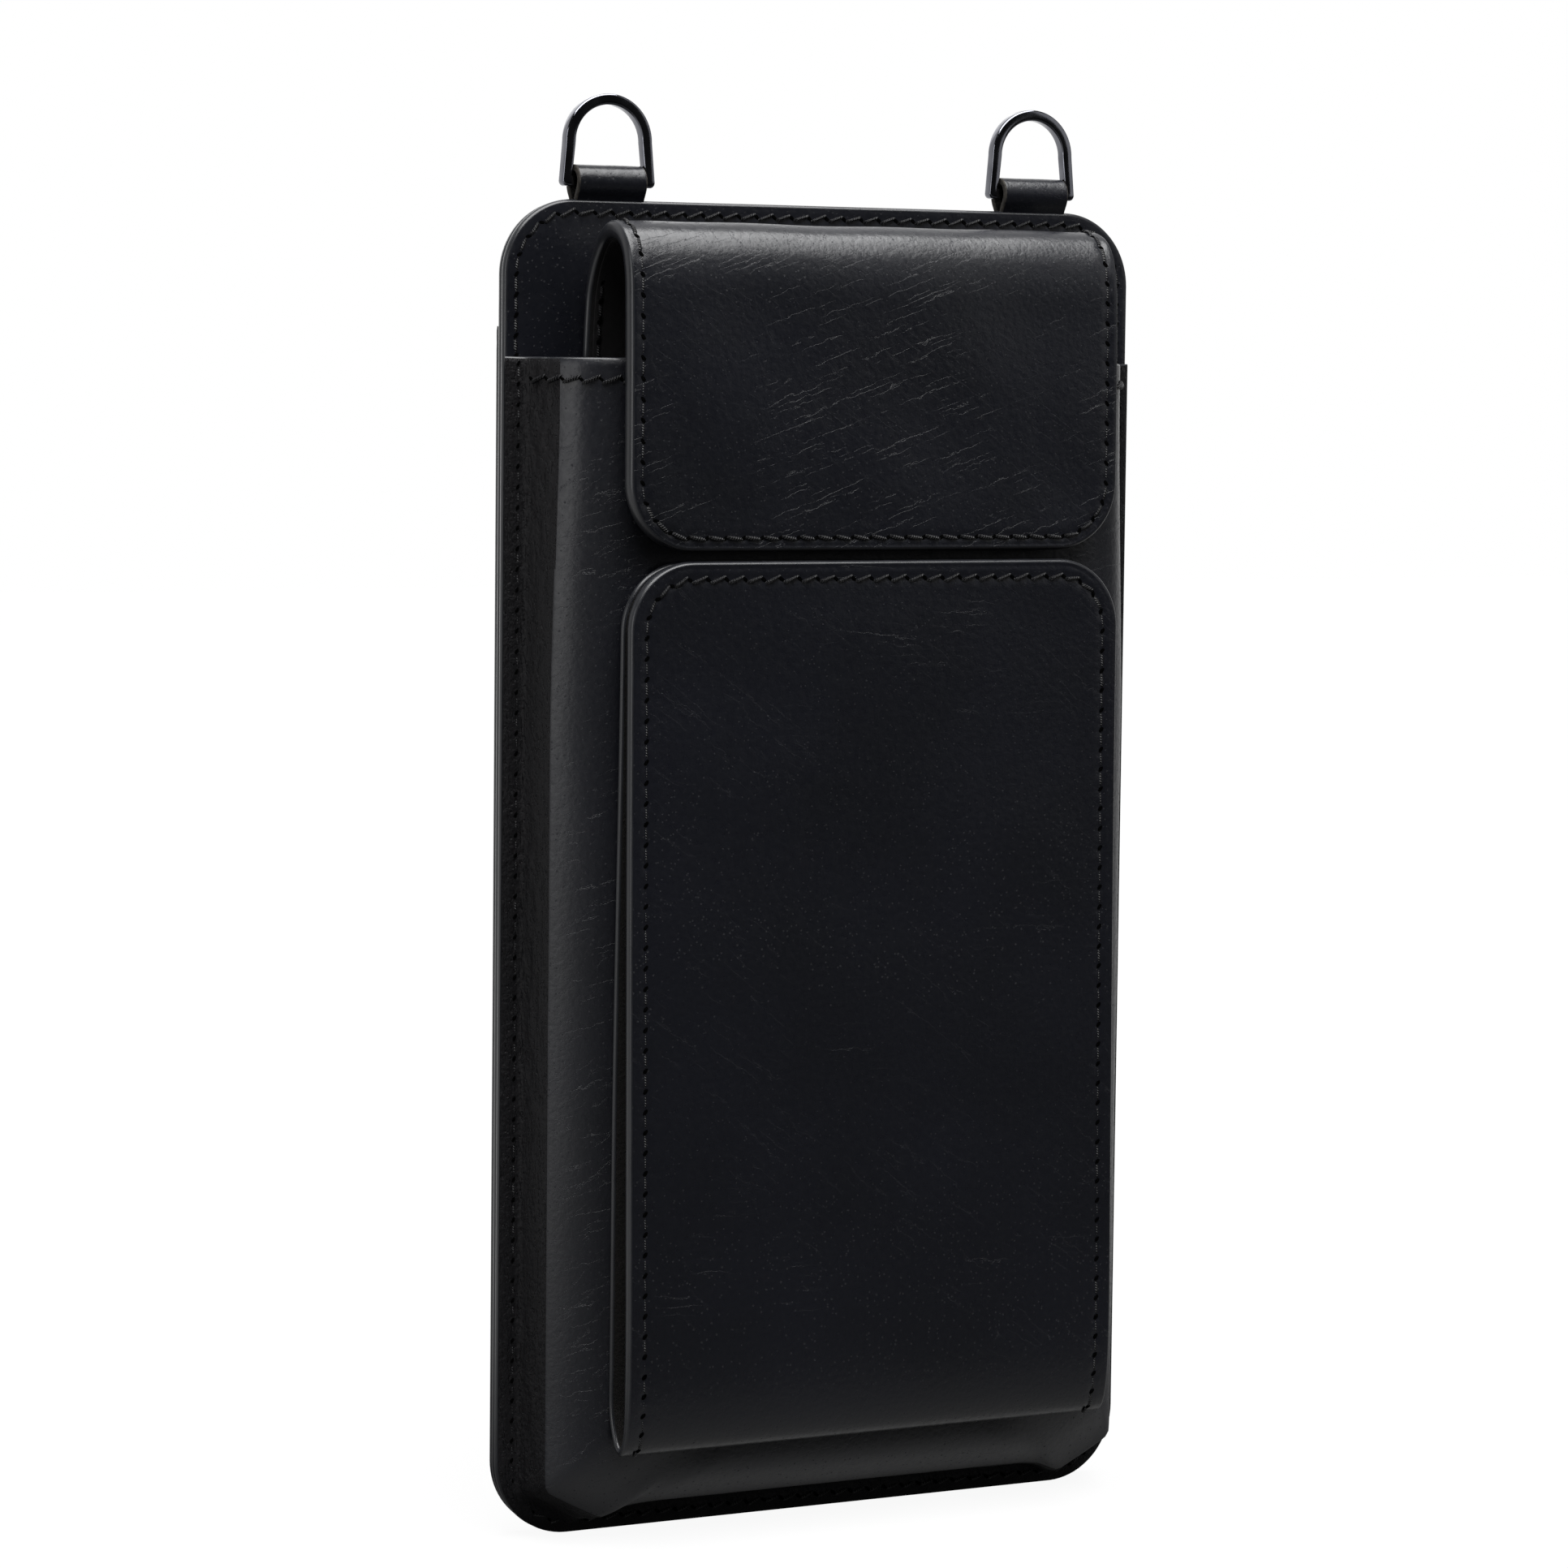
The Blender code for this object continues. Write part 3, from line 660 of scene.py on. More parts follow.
seamHalf = panelHalf - back["seam"]
seamRound = back["round"] - back["seam"]
topSeam = uLine(seamHalf, pocketMouth + 0.4 * mm, panelTop - back["seam"], seamRound)
settle(sewSheet("stitches_lining_top", topSeam, flatBend(liningFace)), "pouch", "thread")
behindTop = uLine(seamHalf, slipMouth + 0.6 * mm, panelTop - back["seam"], seamRound)
settle(sewSheet("stitches_back_top", behindTop, flatBend(backFace, -1)), "pouch", "thread")
behindLow = uLine(seamHalf, slipMouth - 0.4 * mm, panelBottom + back["seam"], seamRound)
settle(sewSheet("stitches_back_low", behindLow, flatBend(slipFace, -1)), "pouch", "thread")
slipRow = np.array(
    [[-seamHalf + 3 * mm, slipMouth - 2.9 * mm], [seamHalf - 3 * mm, slipMouth - 2.9 * mm]]
)
settle(sewSheet("stitches_slip_mouth", slipRow, flatBend(slipFace, -1)), "pouch", "thread")
print("back layers and slip pocket made")


# The moulded front pocket: a sewn flange, a steep gathered wall, a pressed ridge and a pillowed front
pocket = {
    "flangeDepth": 1.12 * mm,
    "ridge": 4.5 * mm,
    "ridgeDepth": 7.4 * mm,
    "depth": liningFace - pocketFront,
    "centre": 20 * mm,
    "wall": 1.2 * mm,
    "gather": 0.10 * mm,
    "arch": 1.2 * mm,
    "mouthRow": 2.9 * mm,
    "sideSteps": 130,
    "cornerSteps": 30,
    "floorSteps": 60,
}


def pocketLine(kind):
    # The profile as (inset, depth) in millimetres: skived flange, wall, ridge and pillow. From the
    # ridge the slope falls from tan 53 degrees to nothing. At the mouth the ridge is round, and along
    # the floor the pillow swells to a bolster. Corner cutting rounds the line.
    line = [(0, 0.35), (0.7, 0.75), (1.4, 1.05), (2.4, 1.15)]
    rest = [(17.2, 13.15), (pocket["centre"] / mm, pocket["depth"] / mm)]
    if kind == "side":
        share = np.linspace(0, 1, 19)
        slope = np.tan(np.radians(53) * (1 - share) ** 1.15)
        climb = np.concatenate([[0], np.cumsum(0.5 * (slope[1:] + slope[:-1]))])
        line += [(2.95, 1.8), (3.4, 3.6), (3.9, 5.6), (4.25, 6.9)]
        line += list(zip(4.5 + 12.5 * share, 7.4 + 5.75 * climb / climb[-1]))
    elif kind == "mouth":
        line += [(3.3, 2.4), (4.0, 4.0), (4.7, 5.7), (5.4, 7.1), (6.3, 8.4)]
        line += [(7.4, 9.6), (8.6, 10.5), (10.4, 11.5), (12.2, 12.4), (14.6, 12.95)]
    else:
        line += [(2.9, 1.9), (3.2, 3.6), (3.45, 5.6), (3.85, 7.5), (4.6, 9.3), (5.8, 10.9)]
        line += [(7.6, 12.3), (9.4, 13.1), (11.0, 13.35), (13.0, 13.3), (15.0, 13.2)]
    line = cutCorners(np.array(line + rest) * mm, 0.25, 3)
    # Rows crowd towards the ridge, where the profile turns most
    way = wayAlong(line)
    ridge = way[np.argmin(np.abs(line[:, 1] - pocket["ridgeDepth"]))]
    bent = np.linspace(-1, 1, 41)
    before = ridge * (1 - np.abs(bent[:20]) ** 1.5)
    after = ridge + (way[-1] - ridge) * bent[20:] ** 1.6
    even = np.concatenate([before, after])
    return np.stack([np.interp(even, way, line[:, 0]), np.interp(even, way, line[:, 1])], -1)


def evenly(line, count):
    # The same line with its points at equal distances along it
    way = wayAlong(line)
    even = np.linspace(0, way[-1], count)
    return np.stack([np.interp(even, way, line[:, 0]), np.interp(even, way, line[:, 1])], -1)


def pocketPath(inset):
    # Down the left side, round the lower corners and up the right side. Between flange and front the
    # corners are folded like a paper bag's: the line leaves the side, runs slantwise to a tip and
    # climbs to an arched floor. The share of the fold is nothing at the rim, full at the ridge and
    # nothing again on the front.
    half = panelHalf - inset
    low = panelBottom + inset
    share = smoothStep(inset, 0.9 * mm, 2.6 * mm) * (1 - smoothStep(inset, 5.5 * mm, 14 * mm))
    rise = share * pocket["arch"]
    radius = max(back["round"] - inset, 3.0 * mm + 0.25 * inset)
    sideEnd = 12 * mm
    floorEnd = 19 * mm
    turn = np.linspace(np.pi, 1.5 * np.pi, 16)
    arc = np.stack([-half + radius + radius * np.cos(turn), low + radius + radius * np.sin(turn)], -1)
    corner = np.concatenate([[(-half, low + sideEnd)], arc, [(-half + floorEnd, low + rise)]])
    plain = evenly(corner, pocket["cornerSteps"])
    grow = np.clip((pocket["ridge"] - inset) / mm, -20, 4)
    out = 0.35 * max(grow, 0) + min(grow, 0)
    ear = np.array(
        [
            (-half, low + sideEnd),
            (-half, low + 6.5 * mm),
            (-half + 0.1 * mm, low + 3.5 * mm),
            (-half + (4.6 - 0.1 * out) * mm, low + 1.1 * mm),
            (-half + (9.2 - 0.2 * out) * mm, low - 1.1 * mm),
            (-half + 12.8 * mm, low + 0.5 * rise),
            (-half + 15.8 * mm, low + 0.9 * rise),
            (-half + floorEnd, low + rise),
        ]
    )
    ear = evenly(cutCorners(ear, 0.15, 2), pocket["cornerSteps"])
    folded = plain + share * (ear - plain)
    drop = np.linspace(pocketMouth, low + sideEnd, pocket["sideSteps"])[:-1]
    left = np.concatenate([np.stack([np.full(len(drop), -half), drop], -1), folded])
    along = np.linspace(-half + floorEnd, half - floorEnd, pocket["floorSteps"])[1:-1]
    floor = np.stack([along, np.full(len(along), low + rise)], -1)
    return np.concatenate([left, floor, left[::-1] * (-1, 1)])


def pocketWall(inward):
    # Each profile gives loops; along the path the mouth's changes to the side's, then to the floor's.
    # The inner wall is the outer profile moved in by the hide's thickness along its own normal.
    loops = []
    lines = [pocketLine("mouth"), pocketLine("side"), pocketLine("floor")]
    for line in lines:
        if inward:
            heading = unit(np.gradient(line, axis=0))
            line = line + np.stack([heading[:, 1], -heading[:, 0]], -1) * pocket["wall"]
            line[:, 0] = np.maximum.accumulate(np.clip(line[:, 0], 0, None))
            line[:, 1] = np.maximum.accumulate(np.clip(line[:, 1], 0.03 * mm, None))
            line[0, 0] = 0
            line[-1, 0] = pocket["centre"]
        paths = np.stack([pocketPath(inset) for inset in line[:, 0]])
        depth = np.repeat(line[:, 1][:, None], paths.shape[1], 1)
        loops.append(np.stack([paths[..., 0], liningFace - depth, paths[..., 1]], -1))
    below = pocketMouth - loops[1][..., 2]
    share = smoothStep(below, 4 * mm, 55 * mm)[..., None]
    wall = loops[0] + (loops[1] - loops[0]) * share
    corner = smoothStep(np.arange(pocket["cornerSteps"]), 15, pocket["cornerSteps"] - 1)
    half = np.concatenate([np.zeros(pocket["sideSteps"] - 1), corner])
    low = np.concatenate([half, np.ones(pocket["floorSteps"] - 2), half[::-1]])
    wall = wall + (loops[2] - wall) * low[None, :, None]
    # Gathers on the steep wall run down it, slightly slantwise, and die out at the flange and ridge
    depth = liningFace - wall[..., 1]
    way = np.cumsum(np.linalg.norm(np.diff(wall[:1], axis=1, prepend=wall[:1, :1]), axis=-1), 1)
    band = smoothStep(depth, 1.7 * mm, 3 * mm) * (1 - smoothStep(depth, 5.8 * mm, 7.4 * mm))
    folds = np.sin(depth / (1.9 * mm) * fullTurn + way / (17 * mm) * fullTurn + 1.7 * np.sin(way / (9 * mm)))
    folds = folds + 0.8 * np.sin(
        depth / (3.1 * mm) * fullTurn - way / (11 * mm) * fullTurn + np.sin(way / (5 * mm))
    )
    folds = folds * (0.65 + 0.5 * np.sin(way / (13 * mm) + 0.8))
    following = np.gradient(wall[0], axis=0)
    outward = unit(np.stack([following[:, 2], 0 * following[:, 0], -following[:, 0]], -1))
    wall = wall + outward[None] * (folds * band * pocket["gather"])[..., None]
    lazy = softWaves(wall[..., 0], wall[..., 2], 0.16 * mm, 33 * mm, 21)
    wall[..., 1] -= lazy * smoothStep(depth, 8 * mm, 11 * mm)
    return wall


def makePocket():
    # Two walls of loops, each with a flat middle, and a rim that joins them
    shells = []
    faces = []
    first = 0
    edges = []
    for inward in (False, True):
        wall = pocketWall(inward)
        count, length = wall.shape[:2]
        last = wall[-1]
        drop = pocket["sideSteps"] - 1
        bottom = last[drop : length - drop]
        share = (bottom[:, 0] - bottom[0, 0]) / (bottom[-1, 0] - bottom[0, 0])
        left = last[: drop + 1]
        right = last[::-1][: drop + 1]
        middle = left[:, None] + (right - left)[:, None] * share[None, :, None]
        middle[-1] = bottom
        ease = np.linspace(0, 1, drop + 1)[:, None] ** 8
        ahead = (np.arange(drop + 1) < drop)[:, None]
        middle[:, :, 2] += ease * (bottom[:, 2] - bottom[0, 2])[None] * ahead
        index = np.arange(count * length).reshape(count, length) + first
        centre = np.arange(middle[..., 0].size).reshape(middle.shape[:2])
        centre = centre + first + count * length
        # The flat middle shares the last loop's points
        centre[:, 0] = index[-1, : drop + 1]
        centre[:, -1] = index[-1, ::-1][: drop + 1]
        centre[-1] = index[-1, drop : length - drop]
        fill = np.stack([centre[:-1, :-1], centre[1:, :-1], centre[1:, 1:], centre[:-1, 1:]], -1)
        part = np.concatenate([gridQuads(count, length, first), fill.reshape(-1, 4)])
        faces.append(part[:, ::-1] if inward else part)
        shells.append(np.concatenate([wall.reshape(-1, 3), middle.reshape(-1, 3)]))
        first += len(shells[-1])
        mouth = np.concatenate([index[::-1, -1][::-1], centre[0, ::-1][1:-1], index[::-1, 0]])
        edges.append(np.concatenate([index[0, :-1], mouth[:-1]]))
    points = np.concatenate(shells)
    outer, inner = edges
    # The rim rounds out between the two walls: away from the panel's middle on the flange, up at the
    # mouth
    start, end = points[outer], points[inner]
    atMouth = np.isclose(start[:, 2], pocketMouth, atol=1e-5)
    way = unit(np.roll(start, -1, 0) - np.roll(start, 1, 0))
    out = np.stack([way[:, 2], 0 * way[:, 0], -way[:, 0]], -1)
    out = np.where(atMouth[:, None], (0, 0, 1.0), -out)
    share = np.linspace(0, 1, 8)[1:-1]
    bulge = 0.28 * mm * np.sqrt(1 - (2 * share - 1) ** 2)
    rim = start[None] + (end - start)[None] * share[:, None, None] + out[None] * bulge[:, None, None]
    strip = np.concatenate(
        [outer[None], len(points) + np.arange(rim[..., 0].size).reshape(rim.shape[:2]), inner[None]]
    )
    following = np.roll(strip, -1, 1)
    faces.append(np.stack([strip[:-1], strip[1:], following[1:], following[:-1]], -1).reshape(-1, 4))
    kinds = np.repeat([0, 2, 1], [len(part) for part in faces])
    points = np.concatenate([points, rim.reshape(-1, 3)])
    faces = np.concatenate(faces)
    deep = liningFace - points[faces, 1].mean(1)
    kinds[(kinds == 0) & (deep < pocket["ridgeDepth"] - 0.2 * mm)] = 3
    used = np.unique(faces)
    fresh = np.zeros(len(points), int)
    fresh[used] = np.arange(len(used))
    piece = addPiece(
        "pocket_leather", points[used], fresh[faces], (pocketHide, edgePaint, suede, wallHide), kinds
    )
    settle(piece, "pouch", "leather", "pocket_shell")


makePocket()
flangeSeam = uLine(seamHalf, pocketMouth - 0.6 * mm, panelBottom + back["seam"], seamRound)
flangeBend = flatBend(liningFace - pocket["flangeDepth"])
settle(sewSheet("stitches_flange", flangeSeam, flangeBend, proud=0.4), "pouch", "thread")


def makeMouthRow():
    # The row below the mouth climbs the soft profile from the left wall and goes down the right one
    line = pocketLine("mouth")
    line = line[line[:, 0] > 3.2 * mm]
    half = np.stack([line[:, 0] - panelHalf, liningFace - line[:, 1]], -1)
    both = np.concatenate([half, half[::-1] * (-1, 1)])
    height = pocketMouth - pocket["mouthRow"]

    def carry(place, way):
        normal = np.stack([way[:, 1], -way[:, 0], np.zeros(len(way))], -1)
        flat = np.stack([place[:, 0], place[:, 1], np.full(len(place), height)], -1)
        return flat, np.stack([way[:, 0], way[:, 1], np.zeros(len(way))], -1), normal

    middle, along, holes, holeWay = stitchPlaces(both)
    row = sewRow("stitches_pocket_mouth", *carry(middle, along), *carry(holes, holeWay), proud=1.4)
    settle(row, "pouch", "thread")


makeMouthRow()


def makeFacing():
    low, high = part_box("pocket_facing")
    edge = {"bulge": 0.3 * mm, "outer": 0.3 * mm, "inner": 0.3 * mm}
    flat = cutShape(
        high.x - 0.3 * mm, low.z + 0.3 * mm, high.z - 0.6 * mm, 4 * mm, 1 * mm, 3 * mm, 3 * mm
    )
    waves = softWaves(*flat, 0.05 * mm, 30 * mm, 8)
    piece = makeSheet(
        "pocket_facing_suede", flat, flatBend(low.y), waves, low.y - high.y, edge, (suede, edgePaint)
    )
    settle(piece, "pouch", "lining", "pocket_facing")


makeFacing()
print("pocket made")


# The closing flap: one strip from its free edge, over the mouth in a soft arch, and down the back
upper = {
    "line": [
        (-18.85, upperEdge / mm), (-18.86, -46.0), (-18.85, -39.0), (-18.82, -32.0), (-18.75, -25.5),
        (-18.6, -19.0), (-18.45, -14.6), (-17.95, -11.6), (-17.2, -9.5), (-15.95, -7.75), (-14.2, -6.55),
        (-12.0, -5.9), (-9.8, -6.15), (-7.6, -7.35), (-5.7, -9.5), (-4.2, -12.2), (-3.2, -15.6),
        (-2.6, -20.0), (-2.2, -25.0), (-1.75, -32.0), (-1.6, -42.1),
    ],
    "crown": -11.0 * mm,
    "round": 10 * mm,
    "leather": 1.35 * mm,
    "whole": 2.7 * mm,
    "margin": 0.7 * mm,
    "seam": 2.0 * mm,
}
upperOuter = {"bulge": 0.60 * mm, "outer": 1.40 * mm, "inner": 1.20 * mm}
upperInner = {"bulge": 0.12 * mm, "outer": 0.05 * mm, "inner": 0.12 * mm}
upperBend, upperLength, evenWay, evenLine = stripBend(curveThrough(np.array(upper["line"]) * mm))
crownWay = evenWay[np.argmin(np.abs(evenLine[:, 0] - upper["crown"]) + 10 * (evenLine[:, 1] < -8 * mm))]


def tieUpper(piece, front, slot, *nodes):
    # Bakes the piece's place into its points and hides the solids it stands for; front and rear halves are
    # treated alike
    if front:
        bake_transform(piece)
    else:
        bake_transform(piece)
    if nodes:
        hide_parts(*nodes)


def makeUpperFlap():
    trim = upperOuter["bulge"]
    half = flapHalf - trim
    frontSeam = uLine(flapHalf - upper["seam"], crownWay, upper["seam"], upper["round"] - upper["seam"])
    rearEnd = upperLength - upper["seam"]
    rearSeam = uLine(flapHalf - upper["seam"], crownWay, rearEnd, 2 * mm)
    holes = np.concatenate([stitchPlaces(frontSeam)[2], stitchPlaces(rearSeam)[2]])
    thinner = [crownWay, crownWay + 14 * mm]
    ends = {
        True: (trim, crownWay, upper["round"] - trim, 0.0),
        False: (crownWay, upperLength - trim, 0.0, 4 * mm),
    }
    for front, (low, high, lowRound, highRound) in ends.items():
        flat = cutShape(half, low, high, lowRound, highRound, 0.75 * mm, 0.9 * mm)
        inset = inFrom(*flat, flapHalf, 0.0, upperLength, upper["round"], 4 * mm)
        lift = grooveAt(inset, upper["seam"], 0.06 * mm) + grooveAt(
            inset, 0.95 * mm, 0.05 * mm, 0.22 * mm
        )
        lift = lift + holeDents(*flat, holes, 0.16 * mm, 0.6 * mm)
        soft = softWaves(*flat, 0.16 * mm, 30 * mm, 31)
        lift = lift + soft * smoothStep(inset, 1 * mm, 9 * mm)
        seamEnd = ("high",) if front else ("low",)
        name = "upper_flap_front_leather" if front else "upper_flap_rear_leather"
        thick = np.interp(flat[1], thinner, [upper["whole"] - 0.15 * mm, upper["leather"]])
        strip = makeSheet(
            name, flat, upperBend, lift, -thick, upperOuter, (upperHide, edgePaint, suede), seamEnd
        )
        tieUpper(
            strip, front, "leather", *(("upper_flap",) if front else ("upper_flap_tail", "upper_crown"))
        )
        margin = upper["margin"]
        low, lowRound = (low + margin, lowRound - margin) if front else (low, lowRound)
        high, highRound = (high, highRound) if front else (high - margin, highRound - margin)
        flat = cutShape(half - margin, low, high, lowRound, highRound, 2 * mm, 3 * mm)
        thick = np.interp(flat[1], thinner, [upper["whole"] - 0.15 * mm, upper["leather"]])
        name = "upper_flap_front_lining" if front else "upper_crown_lining_suede"
        face, behind = 0.2 * mm - thick, -thick - 0.15 * mm
        lining = makeSheet(name, flat, upperBend, face, behind, upperInner, (suede, suede), seamEnd)
        tieUpper(lining, front, "lining", "upper_flap_lining" if front else "upper_crown_lining")
    tieUpper(
        sewSheet("stitches_upper_front", frontSeam, upperBend, -0.08 * mm, lean=-0.5), True, "thread"
    )
    tieUpper(sewSheet("stitches_upper_rear", rearSeam, upperBend, -0.08 * mm, lean=-1), False, "thread")

    def inside(x, s, lift):
        return upperBend(-x, s, -lift)

    row = sewSheet("stitches_upper_inside_front", frontSeam, inside, upper["whole"])
    tieUpper(row, True, "thread")
    row = sewSheet("stitches_upper_inside_rear", rearSeam, inside, upper["leather"] + 0.35 * mm)
    tieUpper(row, False, "thread")


makeUpperFlap()
print("closing flap made")


# The wallet: one strip from the rear leaf's top, round the fold and up the front leaf
wallet = {
    "line": [
        (-15.75, lowerTop / mm), (-15.65, -62.0), (-15.45, -74.0), (-15.2, -88.0), (-15.0, -102.0),
        (-14.9, -120.0), (-14.85, -140.0), (-14.8, -158.0), (-14.72, -170.0), (-14.65, -176.0),
        (-14.85, -179.8), (-15.7, -182.4), (-17.35, foldLow / mm), (-18.75, -182.75), (-19.75, -180.6),
        (-20.35, -177.2), (-20.68, -172.5), (-20.74, -165.0), (-20.6, -155.0), (-20.35, -140.0),
        (-20.05, -120.0), (-19.8, -102.0), (-19.65, -88.0), (-19.55, -74.0), (-19.48, -62.0),
        (-19.45, lowerTop / mm),
    ],
    "hug": 1.0 * mm,
    "round": 10 * mm,
    "leather": 1.1 * mm,
    "lining": 0.8 * mm,
    "seam": 2.6 * mm,
    "foldStart": (0, -15.95 * mm, foldLow),
    "foldEnd": (0, -18.6 * mm, foldLow),
    "foldReach": 13 * mm,
}
walletBend, walletLength, walletWay, walletPoints = stripBend(curveThrough(np.array(wallet["line"]) * mm))
foldWay = walletWay[np.argmin(walletPoints[:, 1])]


def tieWallet(piece):
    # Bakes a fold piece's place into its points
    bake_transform(piece)


def makeWallet():
    edge = {"bulge": 0.48 * mm, "outer": 1.00 * mm, "inner": 0.90 * mm}
    trim = edge["bulge"]
    half = flapHalf - trim
    seam = wallet["seam"]
    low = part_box("lower_flap_lining")[0].z
    lowWay = walletWay[np.argmin(np.abs(walletPoints[:, 1] - low) + (walletWay < foldWay))]
    whole = wallet["leather"] + wallet["lining"]
    reach = wallet["foldReach"]
    frontSeam = uLine(flapHalf - seam, foldWay + reach, walletLength - seam, wallet["round"] - seam)
    rearSeam = uLine(flapHalf - seam, foldWay - reach, seam, wallet["round"] - seam)
    foldSeam = np.array([[flapHalf - seam, foldWay - reach], [flapHalf - seam, foldWay + reach]])
    holes = np.concatenate([stitchPlaces(line)[2] for line in (frontSeam, foldSeam, foldSeam * (-1, 1))])
    rounded = wallet["round"] - trim
    cuts = [trim, foldWay - reach, foldWay + reach, walletLength - trim]
    parts = [
        ("wallet_rear_leather", cuts[0], cuts[1], rounded, 0.0, ("high",)),
        ("wallet_fold_leather", cuts[1], cuts[2], 0.0, 0.0, ("low", "high")),
        ("wallet_front_leather", cuts[2], cuts[3], 0.0, rounded, ("low",)),
    ]
    leaves = {}
    for name, start, end, startRound, endRound, seamEnds in parts:
        flat = cutShape(half, start, end, startRound, endRound, 0.85 * mm, 1.0 * mm)
        inset = inFrom(*flat, flapHalf, 0.0, walletLength, wallet["round"], wallet["round"])
        lift = grooveAt(inset, seam, 0.06 * mm) + grooveAt(inset, 1.0 * mm, 0.04 * mm, 0.22 * mm)
        lift = lift + holeDents(*flat, holes, 0.16 * mm, 0.6 * mm)
        soft = softWaves(*flat, 0.20 * mm, 42 * mm, 17) * smoothStep(
            flat[1], foldWay + 6 * mm, foldWay + 26 * mm
        )
        lift = lift + soft * smoothStep(inset, 1 * mm, 10 * mm)
        # The rear leaf's sides lie back on the pillowed pocket, more towards the fold
        rear = smoothStep(flat[1], 25 * mm, 90 * mm) * (
            1 - smoothStep(flat[1], foldWay - 9 * mm, foldWay - 2 * mm)
        )
        hug = wallet["hug"] * rear * smoothStep(np.abs(flat[0]), 33 * mm, 41 * mm)
        thick = np.interp(
            flat[1], [lowWay - 3 * mm, lowWay + 5 * mm], [wallet["leather"], whole - 0.12 * mm]
        )
        finishes = (lowerHide, edgePaint, flesh)
        leaves[name] = makeSheet(
            name, flat, walletBend, lift + hug, hug - thick, edge, finishes, seamEnds
        )
    settle(leaves["wallet_rear_leather"], "pouch", "leather", "wallet_rear_leaf")
    settle(leaves["wallet_front_leather"], "lower_flap", "leather", "lower_flap")
    tieWallet(leaves["wallet_fold_leather"])
    settle(sewSheet("stitches_wallet_front", frontSeam, walletBend, -0.08 * mm), "lower_flap", "thread")
    settle(sewSheet("stitches_wallet_rear", rearSeam, walletBend, 0.0, lean=-1), "pouch", "thread")
    tieWallet(sewSheet("stitches_fold_right", foldSeam, walletBend, -0.08 * mm))
    tieWallet(sewSheet("stitches_fold_left", foldSeam * (-1, 1), walletBend, -0.08 * mm))

    margin = 0.65 * mm
    edge = {"bulge": 0.10 * mm, "outer": 0.05 * mm, "inner": 0.12 * mm}
    flat = cutShape(
        half - margin, lowWay, walletLength - trim - margin, 1.5 * mm, rounded - margin, 2 * mm, 3 * mm
    )
    thick = np.interp(flat[1], [lowWay - 3 * mm, lowWay + 5 * mm], [wallet["leather"], whole - 0.12 * mm])
    name = "lower_flap_lining_suede"
    face, behind = 0.15 * mm - thick, -thick - 0.12 * mm
    lining = makeSheet(name, flat, walletBend, face, behind, edge, (suede, suede))
    settle(lining, "lower_flap", "lining", "lower_flap_lining")

    def inside(x, s, lift):
        return walletBend(-x, s, -lift)

    insideSeam = uLine(flapHalf - seam, lowWay + 6 * mm, walletLength - seam, wallet["round"] - seam)
    row = sewSheet("stitches_wallet_inside", insideSeam, inside, whole)
    settle(row, "lower_flap", "thread")


makeWallet()


def makeCardPocket():
    # A leaf whose top row dips round the thumb notch: top - sqrt(r^2 - x^2) within the notch
    low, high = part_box("card_pocket")
    notch = 9 * mm
    edge = {"bulge": 0.2 * mm, "outer": 0.2 * mm, "inner": 0.2 * mm}
    half = high.x - 0.2 * mm
    near = notch * np.sin(np.linspace(-np.pi / 2, np.pi / 2, 37))
    x = np.concatenate(
        [evenSteps(-half, -notch - 0.4 * mm, 2 * mm), near, evenSteps(notch + 0.4 * mm, half, 2 * mm)]
    )
    share = np.concatenate([np.linspace(0, 0.94, 30), np.linspace(0.95, 1, 8)])
    top = high.z - 0.2 * mm - np.sqrt(np.maximum(notch**2 - x**2, 0))
    s = low.z + 0.2 * mm + share[:, None] * (top - low.z - 0.2 * mm)[None]
    flat = (np.repeat(x[None], len(share), 0), s)
    lift = softWaves(*flat, 0.05 * mm, 30 * mm, 9)
    piece = makeSheet(
        "card_pocket_leather", flat, flatBend(low.y), lift, low.y - high.y, edge, (panelHide, edgePaint)
    )
    settle(piece, "pouch", "leather", "card_pocket")
    seam = 1.8 * mm
    line = uLine(half - seam, high.z - 2 * mm, low.z + seam, 1.5 * mm)
    settle(sewSheet("stitches_card_pocket", line, flatBend(low.y)), "pouch", "thread")


makeCardPocket()
print("wallet made")


# D-rings: a flat-faced section with rounded edges, carried round an outline with leaning legs
ring = {
    "inner": 5.8 * mm,
    "wire": 1.6 * mm,
    "rise": 12.65 * mm,
    "lean": 0.5 * mm,
    "depth": 1.8 * mm,
    "edge": 0.3 * mm,
}


def ringLine(outside):
    # Bar, lower corner, leg, arch, leg and lower corner, with the same count of points inside and out
    grow = ring["wire"] if outside else 0.0
    foot = -ring["wire"] / 2 if outside else ring["wire"] / 2
    half = ring["inner"] + grow
    top = ring["inner"] - ring["lean"] + grow
    centre = ring["rise"] - ring["wire"] - ring["inner"] + ring["lean"]
    corner = 0.75 * mm if outside else 0.2 * mm
    turn = np.linspace(1.5 * np.pi, np.pi, 8)
    low = np.stack([-half + corner + corner * np.cos(turn), foot + corner + corner * np.sin(turn)], -1)
    arch = np.linspace(np.pi, 0.5 * np.pi, 26)
    high = np.stack([top * np.cos(arch), centre + top * np.sin(arch)], -1)
    leg = low[-1] + (high[0] - low[-1]) * np.linspace(0, 1, 12)[1:-1, None]
    bar = np.stack([np.linspace(0, -half + corner, 8), np.full(8, foot)], -1)[:-1]
    left = np.concatenate([bar, low, leg, high])
    return np.concatenate([left, left[1:-1][::-1] * (-1, 1)])


